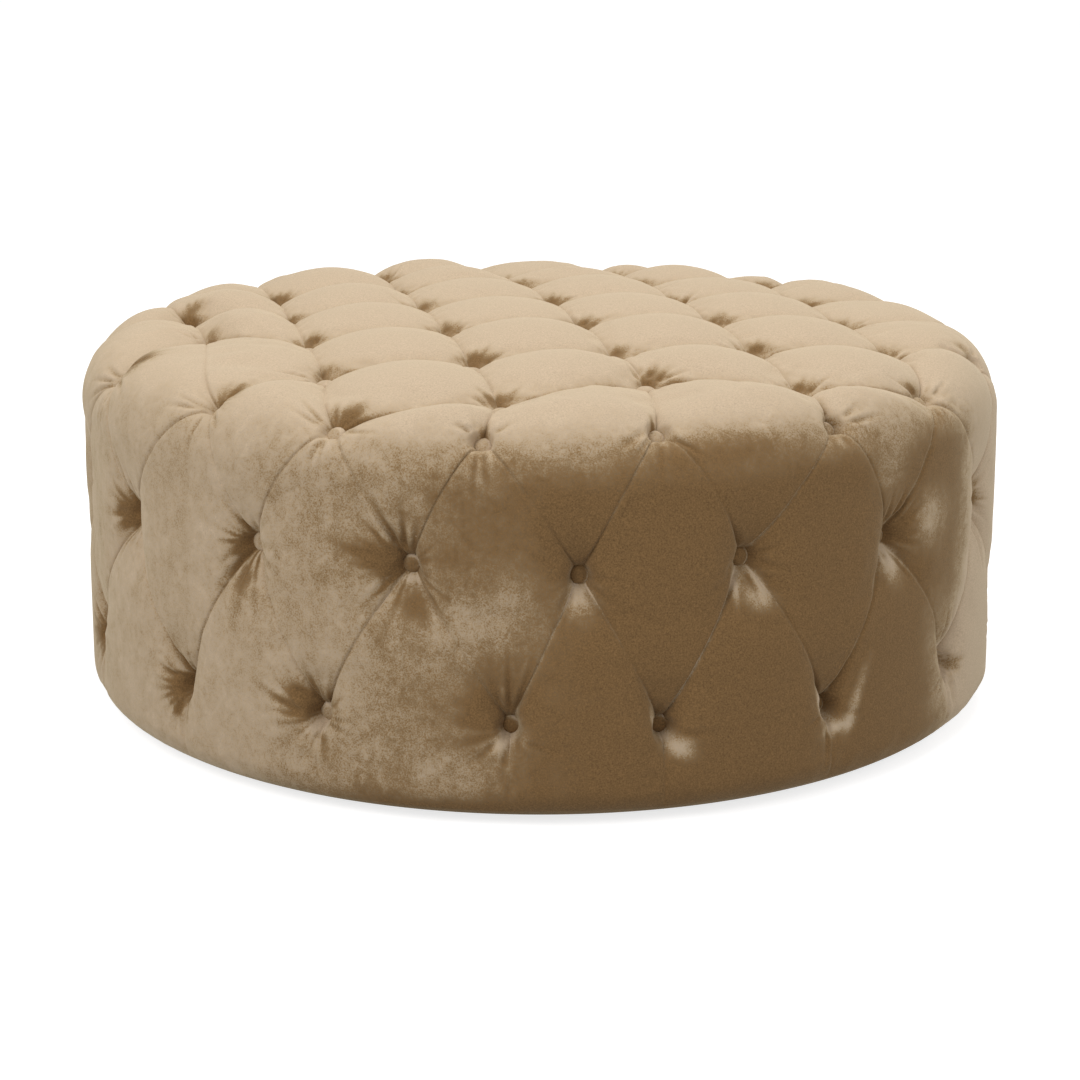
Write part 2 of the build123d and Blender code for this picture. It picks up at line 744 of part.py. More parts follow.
def button_cap(button):
    """The velvet-covered dome of one button."""
    centre, normal = seat_centre(button, 0)
    plane = Plane(origin=centre + normal * BUTTON_LIFT, z_dir=normal)
    inner_radius = BUTTON_RADIUS - BUTTON_WALL
    inner_height = BUTTON_HEIGHT - BUTTON_WALL
    with BuildPart() as cap:
        with BuildSketch(Plane(origin=plane.origin, x_dir=plane.x_dir, z_dir=plane.y_dir * -1)):
            with BuildLine():
                Polyline((inner_radius, BUTTON_RIM), (inner_radius, 0), (BUTTON_RADIUS, 0))
                Line((BUTTON_RADIUS, 0), (BUTTON_RADIUS, BUTTON_RIM))
                RadiusArc((BUTTON_RADIUS, BUTTON_RIM), (0, BUTTON_HEIGHT),
                          -dome_radius(BUTTON_RADIUS, BUTTON_HEIGHT - BUTTON_RIM))
                Line((0, BUTTON_HEIGHT), (0, inner_height))
                RadiusArc((0, inner_height), (inner_radius, BUTTON_RIM),
                          dome_radius(inner_radius, inner_height - BUTTON_RIM))
            make_face()
        revolve(axis=Axis(plane.origin, plane.z_dir))
    return cap.part


def button_back(button):
    """The plate that closes one cap, with the loop that the twine holds."""
    centre, normal = seat_centre(button, 0)
    plane = Plane(origin=centre + normal * BUTTON_LIFT, z_dir=normal)
    loop_plane = Plane(origin=centre - normal * LOOP_DROP, x_dir=plane.x_dir, z_dir=plane.y_dir)
    with BuildPart() as back:
        with BuildSketch(plane):
            Circle(BACK_RADIUS)
        extrude(amount=BUTTON_WALL)
        with BuildSketch(Plane(origin=loop_plane.origin + plane.x_dir * LOOP_RADIUS, z_dir=normal)):
            Circle(LOOP_WIRE)
        revolve(axis=Axis(loop_plane.origin, loop_plane.z_dir))
    return back.part


def twine(path, knot_radius):
    """One length of twine, with the knot at its end."""
    start, end = path
    along = (end - start).normalized()
    with BuildPart() as cord:
        add(rod(start, end + along * knot_radius, TWINE_RADIUS))
        with Locations(Plane(origin=end + along * knot_radius, z_dir=along)):
            Sphere(knot_radius)
    return cord.part


def washer(path):
    """The washer that keeps a knot from pulling through the wood."""
    start, end = path
    with BuildPart() as ring_washer:
        with BuildSketch(Plane(origin=end, z_dir=start - end)):
            Circle(WASHER_RADIUS)
            Circle(WASHER_BORE, mode=Mode.SUBTRACT)
        extrude(amount=WASHER_THICKNESS - WASHER_GAP)
    return ring_washer.part


button_sets = {
    "top": (list(top_buttons.values()), top_twines),
    "edge": (edge_buttons, edge_twines),
    "upper": (upper_buttons, upper_twines),
    "lower": (lower_buttons, lower_twines),
}
for set_name, (buttons, twines) in button_sets.items():
    group([button_cap(button) for button in buttons], f"button_caps_{set_name}")
    group([button_back(button) for button in buttons], f"button_backs_{set_name}")
    knot = EDGE_KNOT_RADIUS if set_name == "edge" else KNOT_RADIUS
    group([twine(path, knot) for path in twines], f"button_twines_{set_name}")
    if set_name != "edge":
        group([washer(path) for path in twines], f"twine_washers_{set_name}")


# Underside: hem staples, dust cover, its staples, and the glides

def staple(azimuth, circle_radius, crown_bottom):
    """A staple driven upwards, its crown across the radius."""
    out = outward(azimuth)
    side = Vector(0, 0, 1).cross(out)
    plane = Plane(origin=out * circle_radius + up * crown_bottom, x_dir=side, z_dir=up)
    with BuildPart() as body:
        with BuildSketch(plane):
            Rectangle(STAPLE_CROWN, STAPLE_WIRE)
        extrude(amount=STAPLE_WIRE)
        with BuildSketch(plane):
            with GridLocations(STAPLE_CROWN - STAPLE_WIRE, 0, 2, 1):
                Rectangle(STAPLE_WIRE, STAPLE_WIRE)
        extrude(amount=STAPLE_LEG)
    return body.part


hem_staple_azimuths = [360 / HEM_STAPLE_COUNT * k for k in range(HEM_STAPLE_COUNT)]
dust_staple_azimuths = [DUST_STAPLE_START + 360 / DUST_STAPLE_COUNT * k for k in range(DUST_STAPLE_COUNT)]
group([staple(azimuth, HEM_STAPLE_RADIUS, staple_crown_bottom) for azimuth in hem_staple_azimuths],
      "hem_staples")
group([staple(azimuth, DUST_STAPLE_RADIUS, dust_bottom - STAPLE_WIRE) for azimuth in dust_staple_azimuths],
      "dust_cover_staples")

with BuildPart() as dust_cover:
    with BuildSketch(Plane.XY.offset(dust_bottom)):
        Circle(DUST_COVER_RADIUS)
    extrude(amount=DUST_COVER_THICKNESS)
save(dust_cover.part, "dust_cover")

glide_places = [
    outward(GLIDE_START + 360 / GLIDE_COUNT * k) * GLIDE_CIRCLE_RADIUS for k in range(GLIDE_COUNT)
]
glide_pins = []
for number, place in enumerate(glide_places, 1):
    with BuildPart() as glide:
        with BuildSketch(Plane(origin=place)):
            Circle(GLIDE_RADIUS)
        extrude(amount=dust_bottom)
        fillet(glide.faces().sort_by(Axis.Z)[0].edges(), GLIDE_ROUNDING)
        with BuildSketch(Plane(origin=place + up * GLIDE_SOLE)):
            Circle(GLIDE_PIN_HEAD)
        extrude(amount=dust_bottom - GLIDE_SOLE, mode=Mode.SUBTRACT)
    save(glide.part, f"glide_{number}")
    head_plane = Plane(origin=place + up * (GLIDE_SOLE + GLIDE_PIN_CLEARANCE))
    with BuildPart() as glide_pin:
        with BuildSketch(head_plane):
            Circle(GLIDE_PIN_HEAD - GLIDE_PIN_CLEARANCE)
        extrude(amount=dust_bottom - GLIDE_SOLE - 2 * GLIDE_PIN_CLEARANCE)
        with BuildSketch(head_plane):
            Circle(GLIDE_PIN_RADIUS)
        extrude(amount=GLIDE_PIN_LENGTH)
    glide_pins.append(glide_pin.part)
group(glide_pins, "glide_pins")
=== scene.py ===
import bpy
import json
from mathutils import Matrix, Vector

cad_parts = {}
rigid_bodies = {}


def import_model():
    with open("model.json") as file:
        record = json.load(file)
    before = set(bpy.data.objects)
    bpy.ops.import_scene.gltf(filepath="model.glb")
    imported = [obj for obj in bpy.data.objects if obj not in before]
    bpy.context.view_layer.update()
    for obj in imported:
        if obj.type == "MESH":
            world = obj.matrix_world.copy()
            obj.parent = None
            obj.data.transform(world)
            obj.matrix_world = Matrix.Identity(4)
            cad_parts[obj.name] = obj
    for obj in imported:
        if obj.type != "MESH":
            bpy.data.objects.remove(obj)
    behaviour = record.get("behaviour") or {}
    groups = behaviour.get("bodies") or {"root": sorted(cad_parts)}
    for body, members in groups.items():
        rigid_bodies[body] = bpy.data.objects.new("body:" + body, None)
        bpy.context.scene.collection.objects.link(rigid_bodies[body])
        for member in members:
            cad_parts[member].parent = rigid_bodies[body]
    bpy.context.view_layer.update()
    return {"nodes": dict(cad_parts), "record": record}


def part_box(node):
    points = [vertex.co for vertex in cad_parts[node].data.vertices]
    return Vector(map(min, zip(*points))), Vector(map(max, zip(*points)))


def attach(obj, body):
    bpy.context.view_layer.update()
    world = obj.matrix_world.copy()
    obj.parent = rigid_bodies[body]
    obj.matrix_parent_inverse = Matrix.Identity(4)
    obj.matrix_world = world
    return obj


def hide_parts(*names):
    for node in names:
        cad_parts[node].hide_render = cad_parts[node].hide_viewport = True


bl_info = {
    "name": "Tufted Pouf",
    "version": (1, 0, 0),
    "blender": (4, 5, 0),
    "location": "View3D > Sidebar > Pouf",
    "description": "Dresses a round deep-buttoned pouf: velvet cover, buttons, foam, dust cover and drum",
    "category": "Object",
}

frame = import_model()

import json
import random
from math import atan2, degrees, hypot, pi, radians

import bmesh
import bpy
import numpy as np
from bpy.props import FloatProperty, FloatVectorProperty, IntProperty, PointerProperty
from mathutils import Matrix, Vector

# Sizes are in metres. +Z is up, the floor is z = 0, and the drum's axis is the Z axis.
# Azimuths are in degrees from -Y, which is the front, towards +X.

# Top buttons: a square lattice, turned and set off centre, in rows of 3, 5, 6, 6, 5 and 3
LATTICE_PITCH = 0.1524
LATTICE_TURN = 12.5
LATTICE_START = (-0.071, -0.240)
LATTICE_ROWS = {-1: (0, 2), 0: (-1, 3), 1: (-2, 3), 2: (-2, 3), 3: (-1, 3), 4: (0, 2)}
LATTICE_SHIFTS = {
    (-2, 1): (0.034, 0.088), (-2, 2): (0.029, 0.066), (1, -1): (-0.004, 0.045),
    (1, 4): (0, -0.060), (2, 4): (0, -0.035),
}

# Side buttons: three rings, each button drawn a little off its even place by the hand that tied it
RING_COUNT = 18
EDGE_START = -65.5
EDGE_TURNS = (0, 3, 1, -1, -1, 1.5, 0.5, 4, 2, -1, 2, 1, -2, -3, -6, -6, -3, -1)
EDGE_TILTS = (44, 50, 46, 44, 50, 39, 41, 39, 42, 44, 45, 43, 44, 46, 44, 42, 44, 45)
UPPER_START = -55.6
UPPER_HEIGHT = 0.251
UPPER_TURNS = (-2, 1, 1, 0, -1, 0, 3, 2, 1, 0, 1, -1, -2, -4, -6, -4, -2, -1)
UPPER_LIFTS = (-3, 6, 4, -3, 4, -3, -5, -2, 0, 3, -2, 0, 2, -3, 1, 0, 3, -1)
LOWER_START = -65.3
LOWER_HEIGHT = 0.094
LOWER_TURNS = (-4, 0, 0, 2, -1, 0, 3, 3, 1, 0, 1, 0, -2, -3, -5, -5, -3, -3)
LOWER_LIFTS = (-4, -2, 2, 5, 1, -5, -7, -3, 0, 2, -1, 1, 3, -2, 0, 2, -2, 0)
MILLIMETRE = 0.001

# How much each pillow swells over or under the even crest
SWELL = (-0.003, 0.002)
SWELL_SEED = 5
# How sharp a pleat's line stays halfway between its buttons
PLEAT_SHARPNESS = (0.4, 1.0)
PLEAT_SEED = 8

# Pillows that were stuffed fuller or flatter: azimuth, half width in degrees, run from the axis, half
# width and swell
FULLER_PILLOWS = (
    (-112, 62, 0.440, 0.200, 0.0085),
    (83, 22, 0.720, 0.160, 0.0028),
    (-84, 20, 0.700, 0.100, 0.0020),
    (112, 14, 0.450, 0.120, -0.0050),
)

# Each edge button and the top buttons that its pleats run to
EDGE_TIES = (
    [(-2, 1)], [(-2, 1), (-1, 0)], [(-1, 0), (0, -1)], [(0, -1)], [(1, -1)], [(2, -1)],
    [(2, -1), (3, 0)], [(3, 0)], [(3, 1)], [(3, 2)], [(3, 3)], [(3, 3), (2, 4)],
    [(2, 4)], [(1, 4)], [(0, 4)], [(0, 4), (-1, 3)], [(-1, 3), (-2, 2)], [(-2, 2)],
)
# The lattice button in each inward corner of the top's outline, by the edge button that faces it
INWARD_CORNERS = {1: (-1, 1), 2: (0, 0), 6: (2, 0), 11: (2, 3), 15: (0, 3), 16: (-1, 2)}
# Pleats that the foam fills out, with their depth
SOFT_PLEATS = {
    frozenset((("edge", 1), ("top", (-2, 1)))): 0.0016, frozenset((("edge", 16), ("top", (-2, 2)))): 0.006,
    frozenset((("edge", 16), ("top", (-1, 3)))): 0.007, frozenset((("edge", 15), ("top", (-1, 3)))): 0.009,
    frozenset((("edge", 15), ("top", (0, 4)))): 0.010,
}
# How sharply a side pleat is creased: one that is laid over to the left on its way down, or the other
LAID_OVER = 1.15
LAID_OPEN = 0.30
# How much slower or faster the shoulder pillow on one side of an edge button rises from it: the edge
# button, then the upper button under that pillow
SLACK_SIDES = {(0, 0): -2.0, (2, 2): -1.1}
# The edge buttons of the back, and how much faster everything rises from them
TIGHT_BACK = range(8, 18)
TIGHT_BACK_RISE = 2.5


class PoufShape(bpy.types.PropertyGroup):
    """Sizes of the upholstery."""

    outer_radius: FloatProperty(
        name="Outer radius", description="Radius over the pillows at the shoulder",
        default=0.508, unit="LENGTH")
    base_radius: FloatProperty(
        name="Base radius", description="Radius at the foot", default=0.512, unit="LENGTH")
    top_height: FloatProperty(
        name="Height", description="Height of the crown over the floor", default=0.430, unit="LENGTH")
    hem_height: FloatProperty(
        name="Hem height", description="Gap under the hem", default=0.006, unit="LENGTH")
    crown_rise: FloatProperty(
        name="Crown", description="Rise of the top from its shoulder to its middle",
        default=0.022, unit="LENGTH")
    shoulder_radius: FloatProperty(
        name="Shoulder", description="Radius of the rounded upper edge", default=0.079, unit="LENGTH")
    foot_radius: FloatProperty(
        name="Foot", description="Radius of the rounded lower edge", default=0.033, unit="LENGTH")
    hem_opening: FloatProperty(
        name="Hem opening", description="Radius to which the hem is turned under",
        default=0.400, unit="LENGTH")
    cover_thickness: FloatProperty(
        name="Cover thickness", description="Velvet with its wadding", default=0.002, unit="LENGTH")
    button_depth: FloatProperty(
        name="Button depth", description="Depth of a button's seat under the pillows",
        default=0.031, unit="LENGTH")
    edge_button_depth: FloatProperty(
        name="Edge button depth", description="Depth of the seats round the shoulder",
        default=0.025, unit="LENGTH")
    top_pleat: FloatProperty(
        name="Top pleats", description="Depth of a pleat halfway between two top buttons",
        default=0.016, unit="LENGTH")
    side_pleat: FloatProperty(
        name="Side pleats", description="Depth of a pleat halfway between two side buttons",
        default=0.0016, unit="LENGTH")
    hem_pleat: FloatProperty(
        name="Hem pleats", description="Depth of the short pleats down to the hem",
        default=0.003, unit="LENGTH")
    top_fullness: FloatProperty(
        name="Top fullness", description="How fast a top pillow rises from its pleats", default=1.85)
    side_fullness: FloatProperty(
        name="Side fullness", description="How fast a side pillow rises from its pleats", default=4.6)
    pit_fullness: FloatProperty(
        name="Pit fullness", description="How fast a pleat rises from its button", default=2.1)
    edge_pit_fullness: FloatProperty(
        name="Edge pit fullness", description="How fast a pleat rises inwards from a shoulder button",
        default=2.7)
    lip_fullness: FloatProperty(
        name="Lip fullness", description="How fast a pleat rises down the side from a shoulder button",
        default=6.0)
    lip_swell: FloatProperty(
        name="Lip swell", description="How much faster the side bulges out under a shoulder button",
        default=6.0)
    crease_depth: FloatProperty(
        name="Crease depth", description="How far the fabric folds into a pleat's line",
        default=0.0024, unit="LENGTH")
    crease_width: FloatProperty(
        name="Crease width", description="Half width of the fold along a pleat's line",
        default=0.0013, unit="LENGTH")
    seat_radius: FloatProperty(
        name="Seat radius", description="Flat of the cover under a button", default=0.0085, unit="LENGTH")
    seat_rim: FloatProperty(
        name="Seat rim", description="Where the cover has left a button's seat", default=0.0122,
        unit="LENGTH")
    button_radius: FloatProperty(
        name="Button radius", description="Radius of a covered button", default=0.0100, unit="LENGTH")
    button_height: FloatProperty(
        name="Button height", description="Height of a covered button's dome",
        default=0.0066, unit="LENGTH")
    cuts: IntProperty(
        name="Cuts", description="Cuts across a quarter of a pillow before the last subdivision",
        default=13)
    crowding: FloatProperty(
        name="Crowding", description="How much closer the cuts lie at the pleats", default=1.35)


class PoufVelvet(bpy.types.PropertyGroup):
    """Colours of the velvet, along its tones: the light and dark ends also paint the pile's sheen and the
    shade and light in pits, creases and folds.
    """

    light: FloatVectorProperty(
        name="Light nap", description="Colour where the pile leans away", subtype="COLOR", size=3,
        default=(0.496, 0.384, 0.268))
    middle: FloatVectorProperty(
        name="Middle nap", description="Colour halfway between light and dark", subtype="COLOR", size=3,
        default=(0.338, 0.240, 0.136))
    dark: FloatVectorProperty(
        name="Dark nap", description="Colour where one looks into the pile", subtype="COLOR", size=3,
        default=(0.182, 0.104, 0.042))
    sheen: FloatProperty(
        name="Sheen", description="Strength of the pile's sheen", default=0.35, min=0, max=1)


class PoufStage(bpy.types.PropertyGroup):
    """Camera and light."""

    camera_distance: FloatProperty(
        name="Camera distance", description="Level distance from the pouf's axis",
        default=2.54, unit="LENGTH")
    camera_height: FloatProperty(
        name="Camera height", description="Height over the floor", default=0.856, unit="LENGTH")
    camera_pitch: FloatProperty(
        name="Camera pitch", description="Angle below level", default=radians(15.58), subtype="ANGLE")
    lens: FloatProperty(
        name="Lens", description="Focal length in millimetres on a 36 mm frame", default=75.8)


# Envelope: the smooth body that the crests of the pillows touch. A foot is a point of it, written as
# its place in an unrolled plan, where the distance from the middle is the run along the profile
# from the axis, with that run again as the third number.

class Envelope:
    """The profile's sizes, worked out from the pouf's."""

    def __init__(self, shape):
        self.shape = shape
        self.shoulder_r = shape.outer_radius - shape.shoulder_radius
        self.shoulder_z = shape.top_height - shape.crown_rise - shape.shoulder_radius
        self.foot_r = shape.base_radius - shape.foot_radius
        self.foot_top = shape.hem_height + shape.foot_radius
        self.shoulder_end = self.shoulder_r + shape.shoulder_radius * pi / 2
        self.wall_end = self.shoulder_end + self.shoulder_z - self.foot_top
        self.foot_end = self.wall_end + shape.foot_radius * pi / 2
        self.hem_run = self.wall_end + shape.foot_radius * pi / 4
        self.opening_run = self.foot_end + self.foot_r - shape.hem_opening

    def profile(self, run):
        """Radius, height and angle of the normal above level, at each run."""
        shape = self.shape
        crown = run / self.shoulder_r
        tilt = pi / 2 - (run - self.shoulder_r) / shape.shoulder_radius
        drop = run - self.shoulder_end
        wall = drop / (self.wall_end - self.shoulder_end)
        foot = (self.wall_end - run) / shape.foot_radius
        zones = [run < self.shoulder_r, run < self.shoulder_end, run < self.wall_end, run < self.foot_end]
        radius = np.select(zones, [
            run,
            self.shoulder_r + shape.shoulder_radius * np.cos(tilt),
            shape.outer_radius + (shape.base_radius - shape.outer_radius) * wall,
            self.foot_r + shape.foot_radius * np.cos(foot),
        ], self.foot_r - (run - self.foot_end))
        height = np.select(zones, [
            shape.top_height - shape.crown_rise * crown**2,
            self.shoulder_z + shape.shoulder_radius * np.sin(tilt),
            self.shoulder_z - drop,
            self.foot_top + shape.foot_radius * np.sin(foot),
        ], shape.hem_height)
        slope = 2 * shape.crown_rise * crown / self.shoulder_r
        angle = np.select(zones, [np.arctan2(1, slope), tilt, 0 * run, foot], -pi / 2)
        return radius, height, angle

    def at(self, feet):
        """Points of the envelope at the feet, and its outward normals there."""
        distance = np.hypot(feet[:, 0], feet[:, 1])
        bend = np.clip((distance - self.shoulder_r) / (self.shoulder_end - self.shoulder_r), 0, 1)
        radius, height, angle = self.profile(distance + (feet[:, 2] - distance) * bend)
        out = feet[:, :2] / np.maximum(distance, 1e-9)[:, None]
        points = np.column_stack([out * radius[:, None], height])
        normals = np.column_stack([out * np.cos(angle)[:, None], np.sin(angle)])
        return points, normals


def ring_foot(azimuth, run):
    """The foot at an azimuth and a run."""
    return np.array([np.sin(radians(azimuth)) * run, -np.cos(radians(azimuth)) * run, run])


def lattice_foot(column, row):
    """The foot of a top button."""
    shift = LATTICE_SHIFTS.get((column, row), (0, 0))
    turn = radians(LATTICE_TURN)
    x = LATTICE_START[0] + LATTICE_PITCH * (column * np.cos(turn) - row * np.sin(turn)) + shift[0]
    y = LATTICE_START[1] + LATTICE_PITCH * (column * np.sin(turn) + row * np.cos(turn)) + shift[1]
    return np.array([x, y, np.hypot(x, y)])


class Tufting:
    """The buttons by name, and the pillows between them."""

    def __init__(self, shape):
        self.shape = shape
        self.envelope = envelope = Envelope(shape)
        step = 360 / RING_COUNT
        self.feet = {}
        self.sets = {"top": [], "edge": [], "upper": [], "lower": []}
        for row, (first, last) in LATTICE_ROWS.items():
            for column in range(first, last + 1):
                self.add("top", (column, row), lattice_foot(column, row))
        for k in range(RING_COUNT):
            tilt = radians(90 - EDGE_TILTS[k])
            run = envelope.shoulder_r + shape.shoulder_radius * tilt
            self.add("edge", k, ring_foot(EDGE_START + step * k + EDGE_TURNS[k], run))
        for k in range(RING_COUNT):
            height = UPPER_HEIGHT + UPPER_LIFTS[k] * MILLIMETRE
            run = envelope.shoulder_end + envelope.shoulder_z - height
            self.add("upper", k, ring_foot(UPPER_START + step * k + UPPER_TURNS[k], run))
        for k in range(RING_COUNT):
            height = LOWER_HEIGHT + LOWER_LIFTS[k] * MILLIMETRE
            run = envelope.shoulder_end + envelope.shoulder_z - height
            azimuth = LOWER_START + step * k + LOWER_TURNS[k]
            self.add("lower", k, ring_foot(azimuth, run))
            self.feet["hem", k] = ring_foot(azimuth, envelope.hem_run)

    def add(self, set_name, place, foot):
        """Note one button."""
        self.feet[set_name, place] = foot
        self.sets[set_name].append((set_name, place))

    def depth(self, corner):
        """Depth of a pillow's corner."""
        if corner[0] == "hem":
            return 0
        return self.shape.edge_button_depth if corner[0] == "edge" else self.shape.button_depth

    def pleat(self, corner, other):
        """Depth of the pleat halfway between two corners, and how sharply it is creased."""
        names = {corner[0], other[0]}
        if names == {"hem"}:
            return 0, 0
        if frozenset((corner, other)) in SOFT_PLEATS:
            return SOFT_PLEATS[frozenset((corner, other))], 0
        if "hem" in names:
            return self.shape.hem_pleat, 0.3
        if names & {"upper", "lower"}:
            place = dict((corner, other))
            over = place.get("lower", (place.get("edge", 0) - 1) % RING_COUNT) == place["upper"]
            return self.shape.side_pleat, LAID_OVER if over else LAID_OPEN
        return self.shape.top_pleat, 0.5

    def rise(self, corner, other):
        """How fast a pleat rises from its corner towards another."""
        if corner[0] != "edge":
            return self.shape.pit_fullness
        if other[0] == "upper":
            return self.shape.lip_fullness
        return self.shape.edge_pit_fullness + TIGHT_BACK_RISE * (corner[1] in TIGHT_BACK)

    def lip(self, corner, sides):
        """How much faster a pillow rises close to its corner, from the corners on its two sides."""
        uppers = [side[1] for side in sides if side[0] == "upper"]
        if corner[0] != "edge" or not uppers:
            return 0
        if len(uppers) == 2:
            return self.shape.lip_swell
        return SLACK_SIDES.get((corner[1], uppers[0]), TIGHT_BACK_RISE * (corner[1] in TIGHT_BACK))

    def swell(self, foot):
        """How much the pillow round a foot is stuffed over the even crest."""
        azimuth = degrees(atan2(foot[0], -foot[1]))
        run = hypot(foot[0], foot[1])
        total = 0
        for place, spread, middle, reach, rise in FULLER_PILLOWS:
            across = max(0, 1 - (turned(azimuth, place) / spread) ** 2)
            total += rise * across * max(0, 1 - ((run - middle) / reach) ** 2)
        return total

    def fullness(self, foot):
        """How fast the pillow round a foot rises from its pleats."""
        run = hypot(foot[0], foot[1])
        share = smooth_step(self.envelope.shoulder_r, self.envelope.shoulder_end + 0.05, run)
        return self.shape.top_fullness * (1 - share) + self.shape.side_fullness * share

    def pillows(self):
        """The corners of each pillow, in order round it."""
        top = {place for _, place in self.sets["top"]}
        outlines = []
        for column, row in sorted(top):
            square = [(column, row), (column + 1, row), (column + 1, row + 1), (column, row + 1)]
            if top.issuperset(square):
                outlines.append([("top", place) for place in square])
        for k in range(RING_COUNT):
            after = (k + 1) % RING_COUNT
            ties = [EDGE_TIES[k][-1]]
            if EDGE_TIES[after][0] != ties[0]:
                ties.append(EDGE_TIES[after][0])
            inner = [("top", place) for place in ties]
            outlines.append([("upper", k), ("edge", k)] + inner + [("edge", after)])
            outlines.append([("edge", after), ("upper", k), ("lower", after), ("upper", after)])
            outlines.append([("lower", k), ("upper", k), ("lower", after), ("hem", after), ("hem", k)])
            if k in INWARD_CORNERS:
                first, last = EDGE_TIES[k]
                outlines.append([("edge", k), ("top", first), ("top", INWARD_CORNERS[k]), ("top", last)])
        return outlines

    def places_round_buttons(self, points, reach):
        """For each button: its name, the points near it, and how far they are right of and over it."""
        for name in [name for names in self.sets.values() for name in names]:
            centres, normals = self.envelope.at(self.feet[name][None])
            normal = Vector(normals[0])
            across = Vector((1, 0, 0)) if name[0] == "top" else Vector((0, 0, 1)).cross(normal)
            across = (across - normal * across.dot(normal)).normalized()
            along = normal.cross(across)
            offsets = points - centres[0]
            near = np.flatnonzero(np.einsum("ij,ij->i", offsets, offsets) < reach**2)
            yield name, near, offsets[near] @ np.array(across), offsets[near] @ np.array(along)

    def seat(self, corner):
        """Centre and outward normal of a button's seat."""
        points, normals = self.envelope.at(self.feet[corner][None])
        return points[0] - normals[0] * self.depth(corner), normals[0]


def new_object(name, mesh, body="root"):
    """Link a finished mesh as a piece that rides on the pouf's one body."""
    piece = bpy.data.objects.new(name, mesh)
    bpy.context.scene.collection.objects.link(piece)
    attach(piece, body)
    return piece


def mesh_from(bm, name):
    """Turn a bmesh into a smooth mesh and free it."""
    mesh = bpy.data.meshes.new(name)
    bm.to_mesh(mesh)
    bm.free()
    mesh.shade_smooth()
    return mesh


def read(items, name, kind=float):
    """One number for each of a mesh's items."""
    values = np.empty(len(items), kind)
    items.foreach_get(name, values)
    return values


def read_rows(items, name, width=3):
    """One row of numbers for each of a mesh's items."""
    values = np.empty(len(items) * width)
    items.foreach_get(name, values)
    return values.reshape(-1, width)


def positions(mesh):
    """The mesh's points."""
    return read_rows(mesh.vertices, "co")


def facing(mesh):
    """The mesh's normals at its points."""
    return read_rows(mesh.vertex_normals, "vector")


def put_positions(mesh, points):
    """Move the mesh's points."""
    mesh.vertices.foreach_set("co", points.ravel())
    mesh.update()


def extrude_rim(bm, rim):
    """Extrude a rim of edges: the new rim and its points."""
    made = bmesh.ops.extrude_edge_only(bm, edges=rim)["geom"]
    rim = [part for part in made if isinstance(part, bmesh.types.BMEdge) and part.is_boundary]
    return rim, {vert for edge in rim for vert in edge.verts}


class Quarters:
    """What each quarter of a pillow is made from, one row for each quarter.

    A quarter runs from a corner of the pillow over the middle of the pleat after it, the middle of
    the pillow and the middle of the pleat before it."""

    def __init__(self):
        self.feet, self.sides, self.depths, self.sharpness = [], [], [], []
        self.swells, self.fullness, self.lips, self.pits = [], [], [], []

    def arrays(self):
        """Turn the lists into arrays."""
        for name, rows in vars(self).items():
            setattr(self, name, np.array(rows))
        return self


